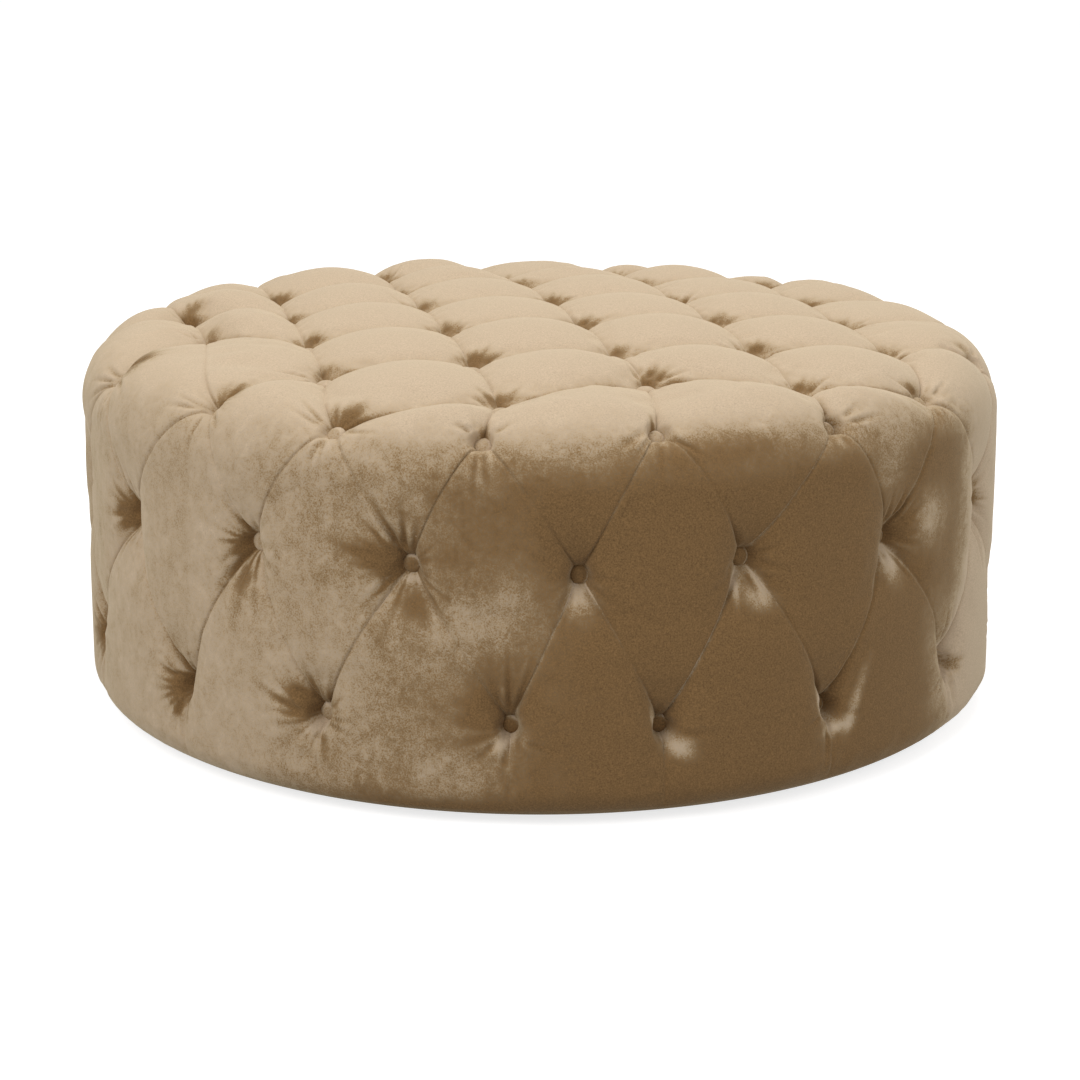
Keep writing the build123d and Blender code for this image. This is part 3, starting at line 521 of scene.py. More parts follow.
def pillow_cage(tufting, cuts, foot_rows, hem_rows):
    """A mesh of the whole cover laid out as feet, four quarters to a four-sided pillow.

    The map "quarter" runs from a corner of a pillow at (0, 0) to its middle at (1, 1), and the
    face's number "quarter_number" says which quarter a face belongs to, or is -1 on the foot and
    the hem."""
    bm = bmesh.new()
    corners = {name: bm.verts.new(foot) for name, foot in tufting.feet.items()}
    names = {vert: name for name, vert in corners.items()}
    for outline in tufting.pillows():
        bm.faces.new([corners[name] for name in outline])
    bmesh.ops.recalc_face_normals(bm, faces=bm.faces[:])
    chance = random.Random(PLEAT_SEED)
    halves = {}
    for edge in bm.edges[:]:
        ends = [names[vert] for vert in edge.verts]
        _, middle = bmesh.utils.edge_split(edge, edge.verts[0], 0.5)
        depth, sharp = tufting.pleat(*ends)
        halves[middle] = ends, depth, sharp * chance.uniform(*PLEAT_SHARPNESS)
    poked = bmesh.ops.poke(bm, faces=bm.faces[:], center_mode="MEAN")
    centres = set(poked["verts"])
    spokes = [e for e in bm.edges if (e.verts[0] in centres) != (e.verts[1] in centres)
              and (e.verts[0] in names or e.verts[1] in names)]
    bmesh.ops.dissolve_edges(bm, edges=spokes)

    quarter_map = bm.loops.layers.uv.new("quarter")
    number = bm.faces.layers.int.new("quarter_number")
    chance = random.Random(SWELL_SEED)
    swells = {centre: chance.uniform(*SWELL) for centre in poked["verts"]}
    quarters = Quarters()
    for place, face in enumerate(bm.faces):
        loop = next(loop for loop in face.loops if loop.vert in names)
        ring = [loop, loop.link_loop_next, loop.link_loop_next.link_loop_next, loop.link_loop_prev]
        for each, uv in zip(ring, ((0, 0), (1, 0), (1, 1), (0, 1))):
            each[quarter_map].uv = uv
        face[number] = place
        feet = np.array([each.vert.co[:] for each in ring])
        points, _ = tufting.envelope.at(feet)
        corner = names[loop.vert]
        ends_after, after, sharp_after = halves[ring[1].vert]
        ends_before, before, sharp_before = halves[ring[3].vert]
        next_corner, last_corner = (
            next(end for end in ends if end != corner) for ends in (ends_after, ends_before))
        quarters.feet.append(feet)
        quarters.sides.append(np.linalg.norm(points - np.roll(points, -1, axis=0), axis=1))
        quarters.depths.append((tufting.depth(corner), after, before))
        quarters.sharpness.append((corner[0] != "hem", sharp_after, sharp_before))
        quarters.swells.append(swells[ring[2].vert] + tufting.swell(ring[2].vert.co))
        quarters.pits.append((tufting.rise(corner, next_corner), tufting.rise(corner, last_corner)))
        quarters.lips.append(tufting.lip(corner, (next_corner, last_corner)))
        quarters.fullness.append(tufting.fullness(ring[2].vert.co))
    bmesh.ops.subdivide_edges(bm, edges=bm.edges[:], cuts=cuts, use_grid_fill=True)

    envelope = tufting.envelope
    runs = np.linspace(envelope.hem_run, envelope.foot_end, foot_rows + 1)[1:]
    runs = np.append(runs, np.linspace(envelope.foot_end, envelope.opening_run, hem_rows + 1)[1:])
    rim = [edge for edge in bm.edges if edge.is_boundary]
    for run in runs:
        rim, verts = extrude_rim(bm, rim)
        for vert in verts:
            out = Vector((vert.co.x, vert.co.y)).normalized() * run
            vert.co = (out.x, out.y, run)
        for face in {face for edge in rim for face in edge.link_faces}:
            face[number] = -1
    bmesh.ops.recalc_face_normals(bm, faces=bm.faces[:])
    highest = min(bm.faces, key=lambda face: face.calc_center_median().length)
    if highest.normal.z < 0:
        bmesh.ops.reverse_faces(bm, faces=bm.faces[:])
    return mesh_from(bm, "cover"), quarters.arrays()


def per_vertex(mesh):
    """Each vertex's place in the quarter map and its quarter's number."""
    corner_verts = read(mesh.loops, "vertex_index", np.int32)
    uv = read_rows(mesh.uv_layers["quarter"].data, "uv", 2)
    numbers = read(mesh.attributes["quarter_number"].data, "value", np.int32)
    numbers = np.repeat(numbers, read(mesh.polygons, "loop_total", np.int32))
    inside = numbers >= 0
    place = np.zeros((len(mesh.vertices), 2))
    place[corner_verts[inside]] = uv[inside]
    quarter = np.full(len(mesh.vertices), -1)
    quarter[corner_verts[inside]] = numbers[inside]
    return place, quarter


def leaned(right, up, angle):
    """Places round a middle, measured along axes that lean by an angle in degrees."""
    cosine, sine = np.cos(radians(angle)), np.sin(radians(angle))
    return right * cosine + up * sine, up * cosine - right * sine


def smooth_step(low, high, value):
    """0 below low, 1 above high, and a smooth rise between."""
    share = np.clip((value - low) / (high - low), 0, 1)
    return share * share * (3 - 2 * share)


def tuft(tufting, mesh, quarters, inset=0, seat_margin=0):
    """Move a mesh laid out as feet on to the tufted skin, and keep its feet and creases on it."""
    shape = tufting.shape
    feet = positions(mesh)
    place, quarter = per_vertex(mesh)
    inside = quarter >= 0
    u, v = (place[inside] ** shape.crowding).T
    quarter = quarter[inside]
    spread = np.column_stack([(1 - u) * (1 - v), u * (1 - v), u * v, (1 - u) * v])
    feet[inside] = np.einsum("ij,ijk->ik", spread, quarters.feet[quarter])

    corner, after, before = quarters.depths[quarter].T
    pits_after, pits_before = quarters.pits[quarter].T
    pit_u, pit_v = (1 - u) ** pits_after, (1 - v) ** pits_before
    full = quarters.fullness[quarter] + quarters.lips[quarter] * ((1 - u) * (1 - v)) ** 2
    wall_u, wall_v = (1 - u) ** full, (1 - v) ** full
    depth = np.zeros(len(feet))
    depth[inside] = (
        (corner * pit_u + after * (1 - pit_u)) * wall_v + (corner * pit_v + before * (1 - pit_v)) * wall_u
        - corner * wall_u * wall_v - quarters.swells[quarter] * (1 - wall_u) * (1 - wall_v)
    )
    points, normals = tufting.envelope.at(feet)
    free = np.ones(len(feet))
    for name, near, right, up in tufting.places_round_buttons(points, shape.seat_rim + seat_margin):
        rise = smooth_step(shape.seat_radius + seat_margin, shape.seat_rim + seat_margin, np.hypot(right, up))
        depth[near] = tufting.depth(name) * (1 - rise) + depth[near] * rise
        free[near] = rise
    put_positions(mesh, points - normals * (depth + inset)[:, None])

    sides = quarters.sides[quarter].T
    sharp, sharp_after, sharp_before = quarters.sharpness[quarter].T
    gap_after = v * ((1 - u) * sides[3] + u * sides[1])
    gap_before = u * ((1 - v) * sides[0] + v * sides[2])
    fold_after = (sharp * (1 - u) + sharp_after * u) * np.exp(-gap_after / shape.crease_width)
    fold_before = (sharp * (1 - v) + sharp_before * v) * np.exp(-gap_before / shape.crease_width)
    fold, pleat = np.zeros(len(feet)), np.ones(len(feet))
    fold[inside] = np.maximum(fold_after, fold_before) * free[inside]
    pleat[inside] = np.minimum(gap_after / np.maximum(sharp_after, 0.01),
                               gap_before / np.maximum(sharp_before, 0.01))
    keep(mesh, "foot", feet)
    keep(mesh, "pleat", pleat)
    keep(mesh, "fold", fold)


def keep(mesh, name, values):
    """Store one value, or one vector, for each point."""
    kind = "FLOAT_VECTOR" if values.ndim == 2 else "FLOAT"
    attribute = mesh.attributes.new(name, kind, "POINT")
    attribute.data.foreach_set("vector" if values.ndim == 2 else "value", values.ravel())


def kept(mesh, name):
    """The values stored for each point."""
    attribute = mesh.attributes[name]
    if attribute.data_type == "FLOAT_VECTOR":
        return read_rows(attribute.data, "vector")
    return read(attribute.data, "value")


def forget(mesh):
    """Drop what was only stored to shape the mesh."""
    for name in ("foot", "pleat", "fold", "quarter_number"):
        mesh.attributes.remove(mesh.attributes[name])


def subdivided(piece):
    """Apply one Catmull-Clark subdivision to a piece."""
    modifier = piece.modifiers.new("subdivision", "SUBSURF")
    modifier.levels = modifier.render_levels = 1
    modifier.boundary_smooth = "PRESERVE_CORNERS"
    evaluated = piece.evaluated_get(bpy.context.evaluated_depsgraph_get())
    mesh = bpy.data.meshes.new_from_object(evaluated)
    piece.modifiers.clear()
    old = piece.data
    piece.data = mesh
    bpy.data.meshes.remove(old)


# Folds that radiate from the buttons of the front. Each is a direction round the button in degrees,
# where 0 is towards rising azimuth and 90 is up or inwards, then its length, depth and half width in
# millimetres, and its bow.
FRONT_FOLDS = {
    ("upper", 0): ((102, 65, 3, 2.4, 0.04), (86, 50, 2.5, 2.2, 0.04), (240, 50, 3, 2.4, 0.05)),
    ("upper", 1): ((250, 55, 3.4, 2.6, 0.03), (228, 50, 3, 2.6, 0.05), (270, 45, 2.4, 2.2, 0.02),
                   (118, 45, 2.8, 2.4, 0.05)),
    ("upper", 2): ((112, 70, 4.8, 3.2, 0.05), (94, 60, 4, 2.6, -0.04), (76, 40, 2.6, 2.2, -0.04),
                   (215, 40, 2, 2.6, 0.05)),
    ("upper", 3): ((60, 45, 2.4, 2.2, 0.04), (245, 40, 2.4, 2.2, 0.04)),
    ("upper", 4): ((285, 45, 2.6, 2.4, 0.04), (240, 45, 2.6, 2.2, -0.04)),
    ("upper", 5): ((72, 45, 3.4, 2.2, 0.05), (58, 50, 3, 2, 0.05), (44, 45, 3, 2, 0.05),
                   (300, 50, 2.4, 2.4, 0.05)),
    ("upper", 6): ((290, 60, 3.6, 3, 0.06), (272, 70, 4, 3, 0.05)),
    ("lower", 0): ((110, 50, 2.8, 2.4, 0.04), (250, 40, 2.2, 2.4, 0.04)),
    ("lower", 1): ((250, 45, 3.4, 2.6, 0.05), (150, 35, 2.4, 2.4, 0.04)),
    ("lower", 2): ((130, 45, 2.8, 2.6, 0.04), (160, 40, 2.4, 2.6, 0.04), (100, 40, 2.4, 2.4, 0.04)),
    ("lower", 3): ((90, 80, 3.4, 2.4, 0.02), (74, 70, 3, 2.4, -0.02), (108, 50, 2.4, 2.4, 0.03)),
    ("lower", 5): ((60, 55, 2.6, 2.6, 0.05), (120, 40, 2.4, 2.4, -0.05)),
    ("lower", 6): ((95, 60, 3.4, 2.6, 0.05), (80, 70, 3, 2.6, 0.05)),
    ("edge", 0): ((205, 55, 3.2, 2.2, -0.14), (222, 60, 3.2, 2.2, -0.12), (262, 50, 2.2, 2, 0.04)),
    ("edge", 1): ((200, 55, 3, 2.2, -0.14), (186, 45, 2.6, 2.2, -0.10), (262, 60, 2.6, 2, 0.03)),
    ("edge", 2): ((150, 50, 3.4, 2.6, -0.10), (168, 45, 3, 2.4, -0.10), (268, 45, 2.4, 2, 0.04),
                  (254, 40, 2.4, 2, 0.04)),
    ("edge", 3): ((262, 55, 2.4, 2, 0.04), (276, 45, 2, 2, 0.04)),
    ("edge", 5): ((350, 50, 3, 2.2, 0.16), (20, 45, 2.2, 2.2, 0.10)),
    ("edge", 6): ((5, 50, 3.4, 2.2, 0.14), (25, 40, 2.2, 2.2, 0.10)),
}
FOLD_SEED = 11
# All folds are made this much deeper and wider
FOLD_STRENGTH = 1.2
FOLD_WIDTH = 1.15
# Where folds end and start round a button, and how high the cloth rises on both sides of one
FOLD_REACH = 0.1
FOLD_START = 0.013
FOLD_LIPS = 0.35
# Every button has a few more folds by chance: how many, and their sizes
RANDOM_FOLDS = (4, 8)
RANDOM_LENGTH = (18, 50)
RANDOM_DEPTH = (1.2, 3.0)
RANDOM_WIDTH = (1.8, 3.4)
RANDOM_BOW = (-0.14, 0.14)


def folds_of(name, chance):
    """The folds round one button: those of the front, and a few more by chance."""
    folds = list(FRONT_FOLDS.get(name, ()))
    for _ in range(chance.randint(*RANDOM_FOLDS)):
        folds.append((
            chance.uniform(0, 360), chance.uniform(*RANDOM_LENGTH), chance.uniform(*RANDOM_DEPTH),
            chance.uniform(*RANDOM_WIDTH), chance.uniform(*RANDOM_BOW),
        ))
    return folds


def fold_depths(tufting, points, wider=1):
    """How deep the folds round the buttons press each point of the envelope in."""
    chance = random.Random(FOLD_SEED)
    depth = np.zeros(len(points))
    for name, near, right, up in tufting.places_round_buttons(points, FOLD_REACH):
        for angle, length, fold, width, bow in folds_of(name, chance):
            length, fold, width = length * MILLIMETRE, fold * MILLIMETRE, width * MILLIMETRE
            width *= FOLD_WIDTH * wider
            x, y = leaned(right, up, angle)
            y = y - bow * x * np.abs(x) / length
            share = np.clip((x - FOLD_START) / length, 0, 1)
            taper = smooth_step(0, 0.25, share) * (1 - share)
            valley = np.exp(-((y / width) ** 2))
            lips = np.exp(-(((np.abs(y) - 2 * width) / width) ** 2))
            depth[near] += FOLD_STRENGTH * fold * taper * (valley - FOLD_LIPS * lips)
    return depth


# Velvet's nap, with the pile's sheen and shade painted into its colour: 0 where the pile shows light and 1
# where one looks into it. A dark zone fades in over two azimuths, out over two more, and out over two
# heights.
DARK_ZONES = (
    (-43, 12, 55, 64, 0.322, 0.396),
    (112, 140, 178, 204, 0.290, 0.350),
    (-132, -108, -96, -78, 0.240, 0.310),
)
# Painted shade: the wall is painted a little darker than the top
WALL_SHADE = 0.27
WALL_TONE_HEIGHTS = (0.350, 0.430)
# Broad strokes of painted light and shade, with the pile's sheen: azimuth, height, half width and half height
# in metres, lean and change
BROAD_LIGHT_AND_SHADE = (
    (-6, 0.210, 0.056, 0.040, 10, -0.42),
    (-9, 0.056, 0.055, 0.028, 0, -0.30),
    (19, 0.368, 0.110, 0.016, 0, 0.35),
    (80, 0.160, 0.150, 0.300, 0, -0.40),
    (-22, 0.150, 0.090, 0.070, 10, -0.18),
    (-13, 0.010, 0.130, 0.016, 0, 0.48),
    (43, 0.328, 0.024, 0.034, -10, -0.55),
    (50.5, 0.262, 0.034, 0.030, 15, -0.52),
    (53, 0.110, 0.028, 0.090, 5, -0.15),
    (62, 0.080, 0.060, 0.085, 0, -1.00),
    (4, 0.300, 0.030, 0.022, 0, 0.30),
    (-12, 0.330, 0.040, 0.020, 20, -0.10),
    (150, 0.160, 0.060, 0.035, 0, -0.50),
    (168, 0.070, 0.045, 0.025, 0, -0.40),
)
# Strokes of painted light and shade round one button: right and up from it, half width and half height in
# millimetres, lean and change
BUTTON_LIGHT_AND_SHADE = {
    ("edge", 0): ((12, 25, 17, 19, 20, 1.2),),
    ("edge", 1): ((5, 23, 15, 20, 10, 1.2),),
    ("edge", 2): ((8, 21, 15, 18, -15, 1.1),),
    ("edge", 3): ((1, 15, 4, 10, 0, 0.9),),
    ("edge", 4): ((-2, 15, 2.5, 11, 0, 0.8),),
    ("edge", 5): ((-2, 16, 8, 7, 0, 0.3),),
    ("edge", 15): ((0, 16, 8, 7, 0, 0.3),),
    ("edge", 16): ((0, 16, 8, 7, 0, 0.3),),
    ("upper", 0): ((-15, 0, 16, 20, 0, 1.0),),
    ("upper", 1): ((-9, -4, 14, 17, 0, 1.0), (-6, -36, 14, 22, -10, 0.5)),
    ("upper", 2): ((-26, 8, 28, 13, -12, 0.8), (-10, 6, 12, 22, 0, 0.6), (8, -36, 20, 18, 0, 0.4),
                   (0, -13, 10, 4, 0, -0.6)),
    ("upper", 3): ((2, -21, 16, 17, 20, -0.55), (-2, 26, 24, 16, 0, 0.4), (-10, -14, 4, 12, -25, -0.4)),
    ("upper", 4): ((-12, -24, 4, 17, 0, -0.6), (12, -38, 18, 10, -20, -0.75), (16, -24, 5, 14, 35, -0.5)),
    ("upper", 5): ((4, -28, 15, 20, 0, -0.8), (26, 10, 15, 18, 0, 0.3)),
    ("lower", 0): ((-16, 0, 16, 15, 0, 1.0),),
    ("lower", 1): ((-11, -2, 15, 19, 0, 1.0), (-10, -24, 6, 12, 25, 0.5)),
    ("lower", 2): ((-15, 14, 25, 21, 0, 1.0), (-2, -12, 9, 5, 0, -0.7)),
    ("lower", 3): ((-7, -13, 9, 9, -20, -0.8), (-20, 18, 26, 26, 0, 0.35), (10, 4, 8, 24, 15, -0.3)),
    ("lower", 4): ((13, -16, 15, 10, -25, -0.85), (-11, 10, 3, 12, 15, -0.6)),
    ("lower", 5): ((-15, 10, 4, 18, 10, -0.85), (8, -18, 19, 7, 8, -0.85), (33, 10, 7, 36, -22, -0.55)),
    ("lower", 6): ((14, -4, 12, 12, 0, 0.6),),
}
# Painted shade and light in the pits: between these depths under the crests, the slopes of a pit that look
# forwards are painted darker and the slopes that look up are painted lighter
PIT_SHADING_DEPTHS = (0.005, 0.022)
PIT_SHADE_FRONT = 0.75
PIT_LIGHT_UP = 0.45
# Painted shade and painted highlight along a pleat's line: how far it darkens light velvet and lightens dark
# velvet
CREASE_SHADE = 0.55
CREASE_HIGHLIGHT = 0.60
# Painted shade in the folds round the buttons: how much they darken the pile, for each metre of their depth
FOLD_SHADE = 110
STROKE_SEED = 23
BUTTON_STROKE_REACH = 0.11
# The ragged fringe of the dark strokes: how far it reaches, how much of that is left on the top, and
# between which counts of streaks round a button
RAGGED = 0.33
SOFT_FRINGE = 0.5
RAGGED_WAVES = (9, 24)
RAGGED_SEED = 31


def strokes_of(name, chance):
    """The strokes round one button: noted ones, or a painted light tongue under it and a painted shade smudge
    beside it, or a painted shade in the pit of a top or shoulder button.
    """
    # A lighter tongue under the button: painted light on the pit's wall that looks up
    lit_tongue = (chance.uniform(-8, 8), chance.uniform(-26, -16), chance.uniform(9, 16),
              chance.uniform(9, 18), chance.uniform(-25, 25), -0.8)
    # A darker smudge beside the button: painted shade in its pit
    shade_smudge = (chance.choice((-1, 1)) * chance.uniform(9, 14), chance.uniform(-4, 10),
              chance.uniform(10, 16), chance.uniform(10, 18), 0, 0.8)
    # A darker patch in a top or shoulder button's pit: painted shade
    pit_shading = (chance.uniform(-6, 6), chance.uniform(15, 22), chance.uniform(9, 16), chance.uniform(9, 15), 0,
           chance.uniform(0.35, 0.80))
    if name in BUTTON_LIGHT_AND_SHADE:
        return BUTTON_LIGHT_AND_SHADE[name]
    return (pit_shading,) if name[0] in ("top", "edge") else (lit_tongue, shade_smudge)


def stroke(right, up, half_width, half_height, lean, ragged=1):
    """How strongly a stroke covers each place round its middle."""
    x, y = leaned(right, up, lean)
    return np.exp(-ragged * ((x / half_width) ** 2 + (y / half_height) ** 2))


def raggedness(right, up, chance):
    """How early the strokes round a button end in each direction from it."""
    angle = np.arctan2(up, right)
    waves = sum(np.sin(angle * chance.randint(*RAGGED_WAVES) + chance.uniform(0, 2 * pi)) for _ in range(4))
    return np.exp(RAGGED * waves)


def turned(azimuth, start):
    """Degrees from a start to an azimuth, from -180 to 180."""
    return (azimuth - start + 180) % 360 - 180


def zone_sheen_and_shade(tufting, feet, points):
    """How dark the pile is painted at each point of the envelope, apart from pits and buttons: the pile's
    painted sheen and shade, the wall's painted shade and broad strokes of painted light and shade.
    """
    azimuth = np.degrees(np.arctan2(feet[:, 0], -feet[:, 1]))
    height = points[:, 2]
    # Painted shade: the wall darker than the top
    tone = WALL_SHADE * (1 - smooth_step(*WALL_TONE_HEIGHTS, height))
    # Dark zones: the pile's sheen and shade painted into the colour
    for left, full_left, full_right, right, full_top, top in DARK_ZONES:
        middle = (full_left + full_right) / 2
        off = turned(azimuth, middle)
        across = smooth_step(left - middle, full_left - middle, off)
        across = across * (1 - smooth_step(full_right - middle, right - middle, off))
        tone += (1 - tone) * across * (1 - smooth_step(full_top, top, height))
    arc = radians(tufting.shape.outer_radius)
    # Broad strokes of painted light and shade
    for place, level, half_width, half_height, lean, change in BROAD_LIGHT_AND_SHADE:
        tone += change * stroke(turned(azimuth, place) * arc, height - level, half_width, half_height, lean)
    return np.clip(tone, 0, 1)


def nap_and_shade_tones(tufting, feet, points, normals, mesh, folds):
    """How dark the pile is painted at each point of a mesh, from its feet, the envelope and the folds: the
    zones' painted sheen and shade, with painted shade and light along pleats, in folds and pits and round the
    buttons.
    """
    # Painted shade in the folds' valleys, and painted light on their lips
    tone = zone_sheen_and_shade(tufting, feet, points) + FOLD_SHADE * folds
    deep = np.einsum("ij,ij->i", points - positions(mesh), normals)
    slope = facing(mesh) - normals
    # Painted shade along the pleats' lines on light velvet, a painted highlight on dark velvet
    crease_shading = kept(mesh, "fold") ** 1.5 * (1 - smooth_step(*WALL_TONE_HEIGHTS, points[:, 2]))
    tone += crease_shading * (CREASE_SHADE * (1 - tone) - CREASE_HIGHLIGHT * tone)
    # Painted shade on a pit's slopes that look forwards, painted light on those that look up
    pit_shading = smooth_step(*PIT_SHADING_DEPTHS, deep)
    tone += pit_shading * (PIT_SHADE_FRONT * np.clip(-slope[:, 1], 0, 1) - PIT_LIGHT_UP * np.clip(slope[:, 2], 0, 1))
    chance = random.Random(STROKE_SEED)
    fringe = random.Random(RAGGED_SEED)
    # Painted light and shade round each button
    for name, near, right, up in tufting.places_round_buttons(points, BUTTON_STROKE_REACH):
        ragged = raggedness(right, up, fringe) ** (SOFT_FRINGE if name[0] in ("top", "edge") else 1)
        for aside, over, half_width, half_height, lean, change in strokes_of(name, chance):
            tone[near] += change * stroke(
                right - aside * MILLIMETRE, up - over * MILLIMETRE, half_width * MILLIMETRE,
                half_height * MILLIMETRE, lean, ragged if change > 0 else 1)
    return np.clip(tone, 0, 1)


# Materials

class Nodes:
    """A node tree, filled one node at a time."""

    def __init__(self, tree):
        self.tree = tree

    def add(self, kind, inputs=(), **settings):
        """A node with its settings and its inputs, which are values or other nodes' outputs."""
        node = self.tree.nodes.new(kind)
        for name, value in settings.items():
            setattr(node, name, value)
        for name, value in dict(inputs).items():
            self.join(node.inputs[name], value)
        return node

    def join(self, socket, value):
        """Link another node's output to a socket, or set the socket to a value."""
        if isinstance(value, bpy.types.NodeSocket):
            self.tree.links.new(value, socket)
        else:
            socket.default_value = value

    def math(self, operation, first, second=0.0, third=0.0):
        """One sum."""
        return self.add("ShaderNodeMath", {0: first, 1: second, 2: third}, operation=operation).outputs[0]

    def seen_directly(self):
        """1 for rays that show the background: from the camera, in gloss and through glass."""
        path = self.add("ShaderNodeLightPath").outputs
        seen = self.math("MAXIMUM", path["Is Camera Ray"], path["Is Glossy Ray"])
        return self.math("MAXIMUM", seen, path["Is Transmission Ray"])


class Finish(Nodes):
    """A material."""

    def __init__(self, name):
        self.material = bpy.data.materials.new(name)
        self.material.use_nodes = True
        super().__init__(self.material.node_tree)
        self.shader = self.tree.nodes["Principled BSDF"]
        self.place = self.add("ShaderNodeTexCoord").outputs["Object"]

    def noise(self, scale, detail=2, roughness=0.5, distortion=0, place=None):
        """A noise pattern on the piece's own coordinates."""
        return self.add("ShaderNodeTexNoise", {
            "Vector": place or self.place, "Scale": scale, "Detail": detail,
            "Roughness": roughness, "Distortion": distortion,
        }).outputs["Fac"]

    def stretched(self, scale):
        """The piece's coordinates, stretched."""
        return self.add("ShaderNodeMapping", {"Vector": self.place, "Scale": scale}).outputs["Vector"]

    def ramp(self, value, stops, ease="LINEAR"):
        """Colours along a value."""
        node = self.add("ShaderNodeValToRGB", {"Fac": value})
        node.color_ramp.interpolation = ease
        elements = node.color_ramp.elements
        while len(elements) < len(stops):
            elements.new(0.5)
        for element, (position, colour) in zip(elements, stops):
            element.position = position
            element.color = (*colour, 1)
        return node.outputs["Color"]

    def bump(self, height, strength, distance):
        """Join a height to the shader as bump."""
        normal = self.add("ShaderNodeBump", {"Height": height, "Strength": strength, "Distance": distance})
        self.join(self.shader.inputs["Normal"], normal.outputs["Normal"])

    def set(self, **values):
        """Set or join the shader's inputs, by names with underscores for spaces."""
        for name, value in values.items():
            self.join(self.shader.inputs[name.replace("_", " ")], value)
        return self.material


def velvet(name, colours):
    """Short cut pile with brushed light and dark places, whose colour follows the stored tones of painted
    sheen and shade.
    """
    finish = Finish(name)
    blotch = finish.noise(13, 6, 0.66, 0.5)
    patch = finish.noise(85, 5, 0.7, 0.6)
    streak = finish.noise(48, 4, 0.6, 0.3, finish.stretched((1, 1, 0.4)))
    grain = finish.noise(620, 2, 0.7)
    # The stored tones: the pile's painted sheen, with painted shade and light in pits, creases and folds
    nap_and_shade = finish.add("ShaderNodeAttribute", attribute_name="nap_and_shade").outputs["Fac"]
    between = finish.math("MULTIPLY_ADD", finish.math("PINGPONG", nap_and_shade, 0.5), 1.9, 0.10)
    change = finish.math("MULTIPLY_ADD", streak, 0.5, finish.math("MULTIPLY_ADD", patch, 0.9, -1.2))
    change = finish.math("MULTIPLY_ADD", blotch, 1.0, change)
    tone = finish.math("MULTIPLY_ADD", change, between, nap_and_shade)
    fleck = finish.math("SUBTRACT", grain, 0.5)
    speck = finish.math("MULTIPLY_ADD", finish.math("PINGPONG", tone, 0.5), 3.4, 0.30)
    tone = finish.math("MULTIPLY_ADD", fleck, speck, tone)
    lean = finish.add("ShaderNodeMapRange", {"Value": tone}, interpolation_type="SMOOTHSTEP")
    lean = lean.outputs["Result"]
    colour = finish.ramp(lean, ((0.0, colours.light), (0.5, colours.middle), (1.0, colours.dark)))
    bright = finish.math("MULTIPLY_ADD", fleck, finish.math("MULTIPLY_ADD", nap_and_shade, 0.9, 0.7), 1.0)
    colour = finish.add("ShaderNodeHueSaturation", {"Value": bright, "Color": colour}).outputs["Color"]
    pile = finish.math("MULTIPLY_ADD", finish.noise(1500, 1), 0.6, grain)
    finish.bump(pile, 0.35, 0.0006)
    return finish.set(
        Base_Color=colour, Roughness=0.9, Specular_IOR_Level=0.12, Sheen_Weight=colours.sheen,
        Sheen_Roughness=0.42, Sheen_Tint=(1.0, 0.88, 0.62, 1),
    )


def plywood():
    """Birch plywood, with its veneer's grain across the sheet and its plies along the edge."""
    finish = Finish("birch_plywood")
    grain = finish.noise(9, 6, 0.65, 1.2, finish.stretched((1, 14, 14)))
    plies = finish.math("PINGPONG", finish.math("MULTIPLY", finish.add(
        "ShaderNodeSeparateXYZ", {"Vector": finish.place}).outputs["Z"], 300), 0.5)
    tone = finish.math("MULTIPLY_ADD", plies, 0.25, grain)
    finish.bump(grain, 0.2, 0.0005)
    return finish.set(Base_Color=finish.ramp(
        tone, ((0.30, (0.46, 0.30, 0.16)), (0.62, (0.68, 0.51, 0.31)), (0.9, (0.60, 0.43, 0.25)))),
        Roughness=finish.math("MULTIPLY_ADD", grain, 0.2, 0.55))


def pine():
    """Planed pine, with long grain and a few dark streaks."""
    finish = Finish("planed_pine")
    grain = finish.noise(14, 5, 0.6, 0.8, finish.stretched((7, 7, 0.6)))
    rings = finish.add("ShaderNodeTexWave", {
        "Vector": finish.stretched((8, 8, 0.5)), "Scale": 5, "Distortion": 6, "Detail": 3,
    }).outputs["Fac"]
    tone = finish.math("MULTIPLY_ADD", rings, 0.35, grain)
    finish.bump(grain, 0.2, 0.0005)
    return finish.set(Base_Color=finish.ramp(
        tone, ((0.3, (0.50, 0.32, 0.15)), (0.7, (0.74, 0.54, 0.31)), (1.0, (0.58, 0.38, 0.19)))),
        Roughness=0.62)


def steel(name, tint, roughness):
    """Drawn or plated steel with fine scratches."""
    finish = Finish(name)
    scratch = finish.noise(600, 4, 0.7, 0, finish.stretched((1, 1, 6)))
    dull = finish.noise(60, 3)
    finish.bump(scratch, 0.12, 0.0002)
    return finish.set(
        Base_Color=finish.ramp(dull, ((0.35, [part * 0.8 for part in tint]), (0.65, tint))),
        Metallic=1.0, Roughness=finish.math("MULTIPLY_ADD", scratch, 0.2, roughness))


def waxed_twine():
    """Laid nylon twine with a dull wax."""
    finish = Finish("waxed_twine")
    lay = finish.add("ShaderNodeTexWave", {"Vector": finish.place, "Scale": 260, "Distortion": 1.5},
                     bands_direction="DIAGONAL").outputs["Fac"]
    finish.bump(lay, 0.5, 0.0003)
    return finish.set(Base_Color=finish.ramp(lay, ((0.2, (0.42, 0.37, 0.27)), (0.8, (0.70, 0.64, 0.50)))),
                      Roughness=0.55)


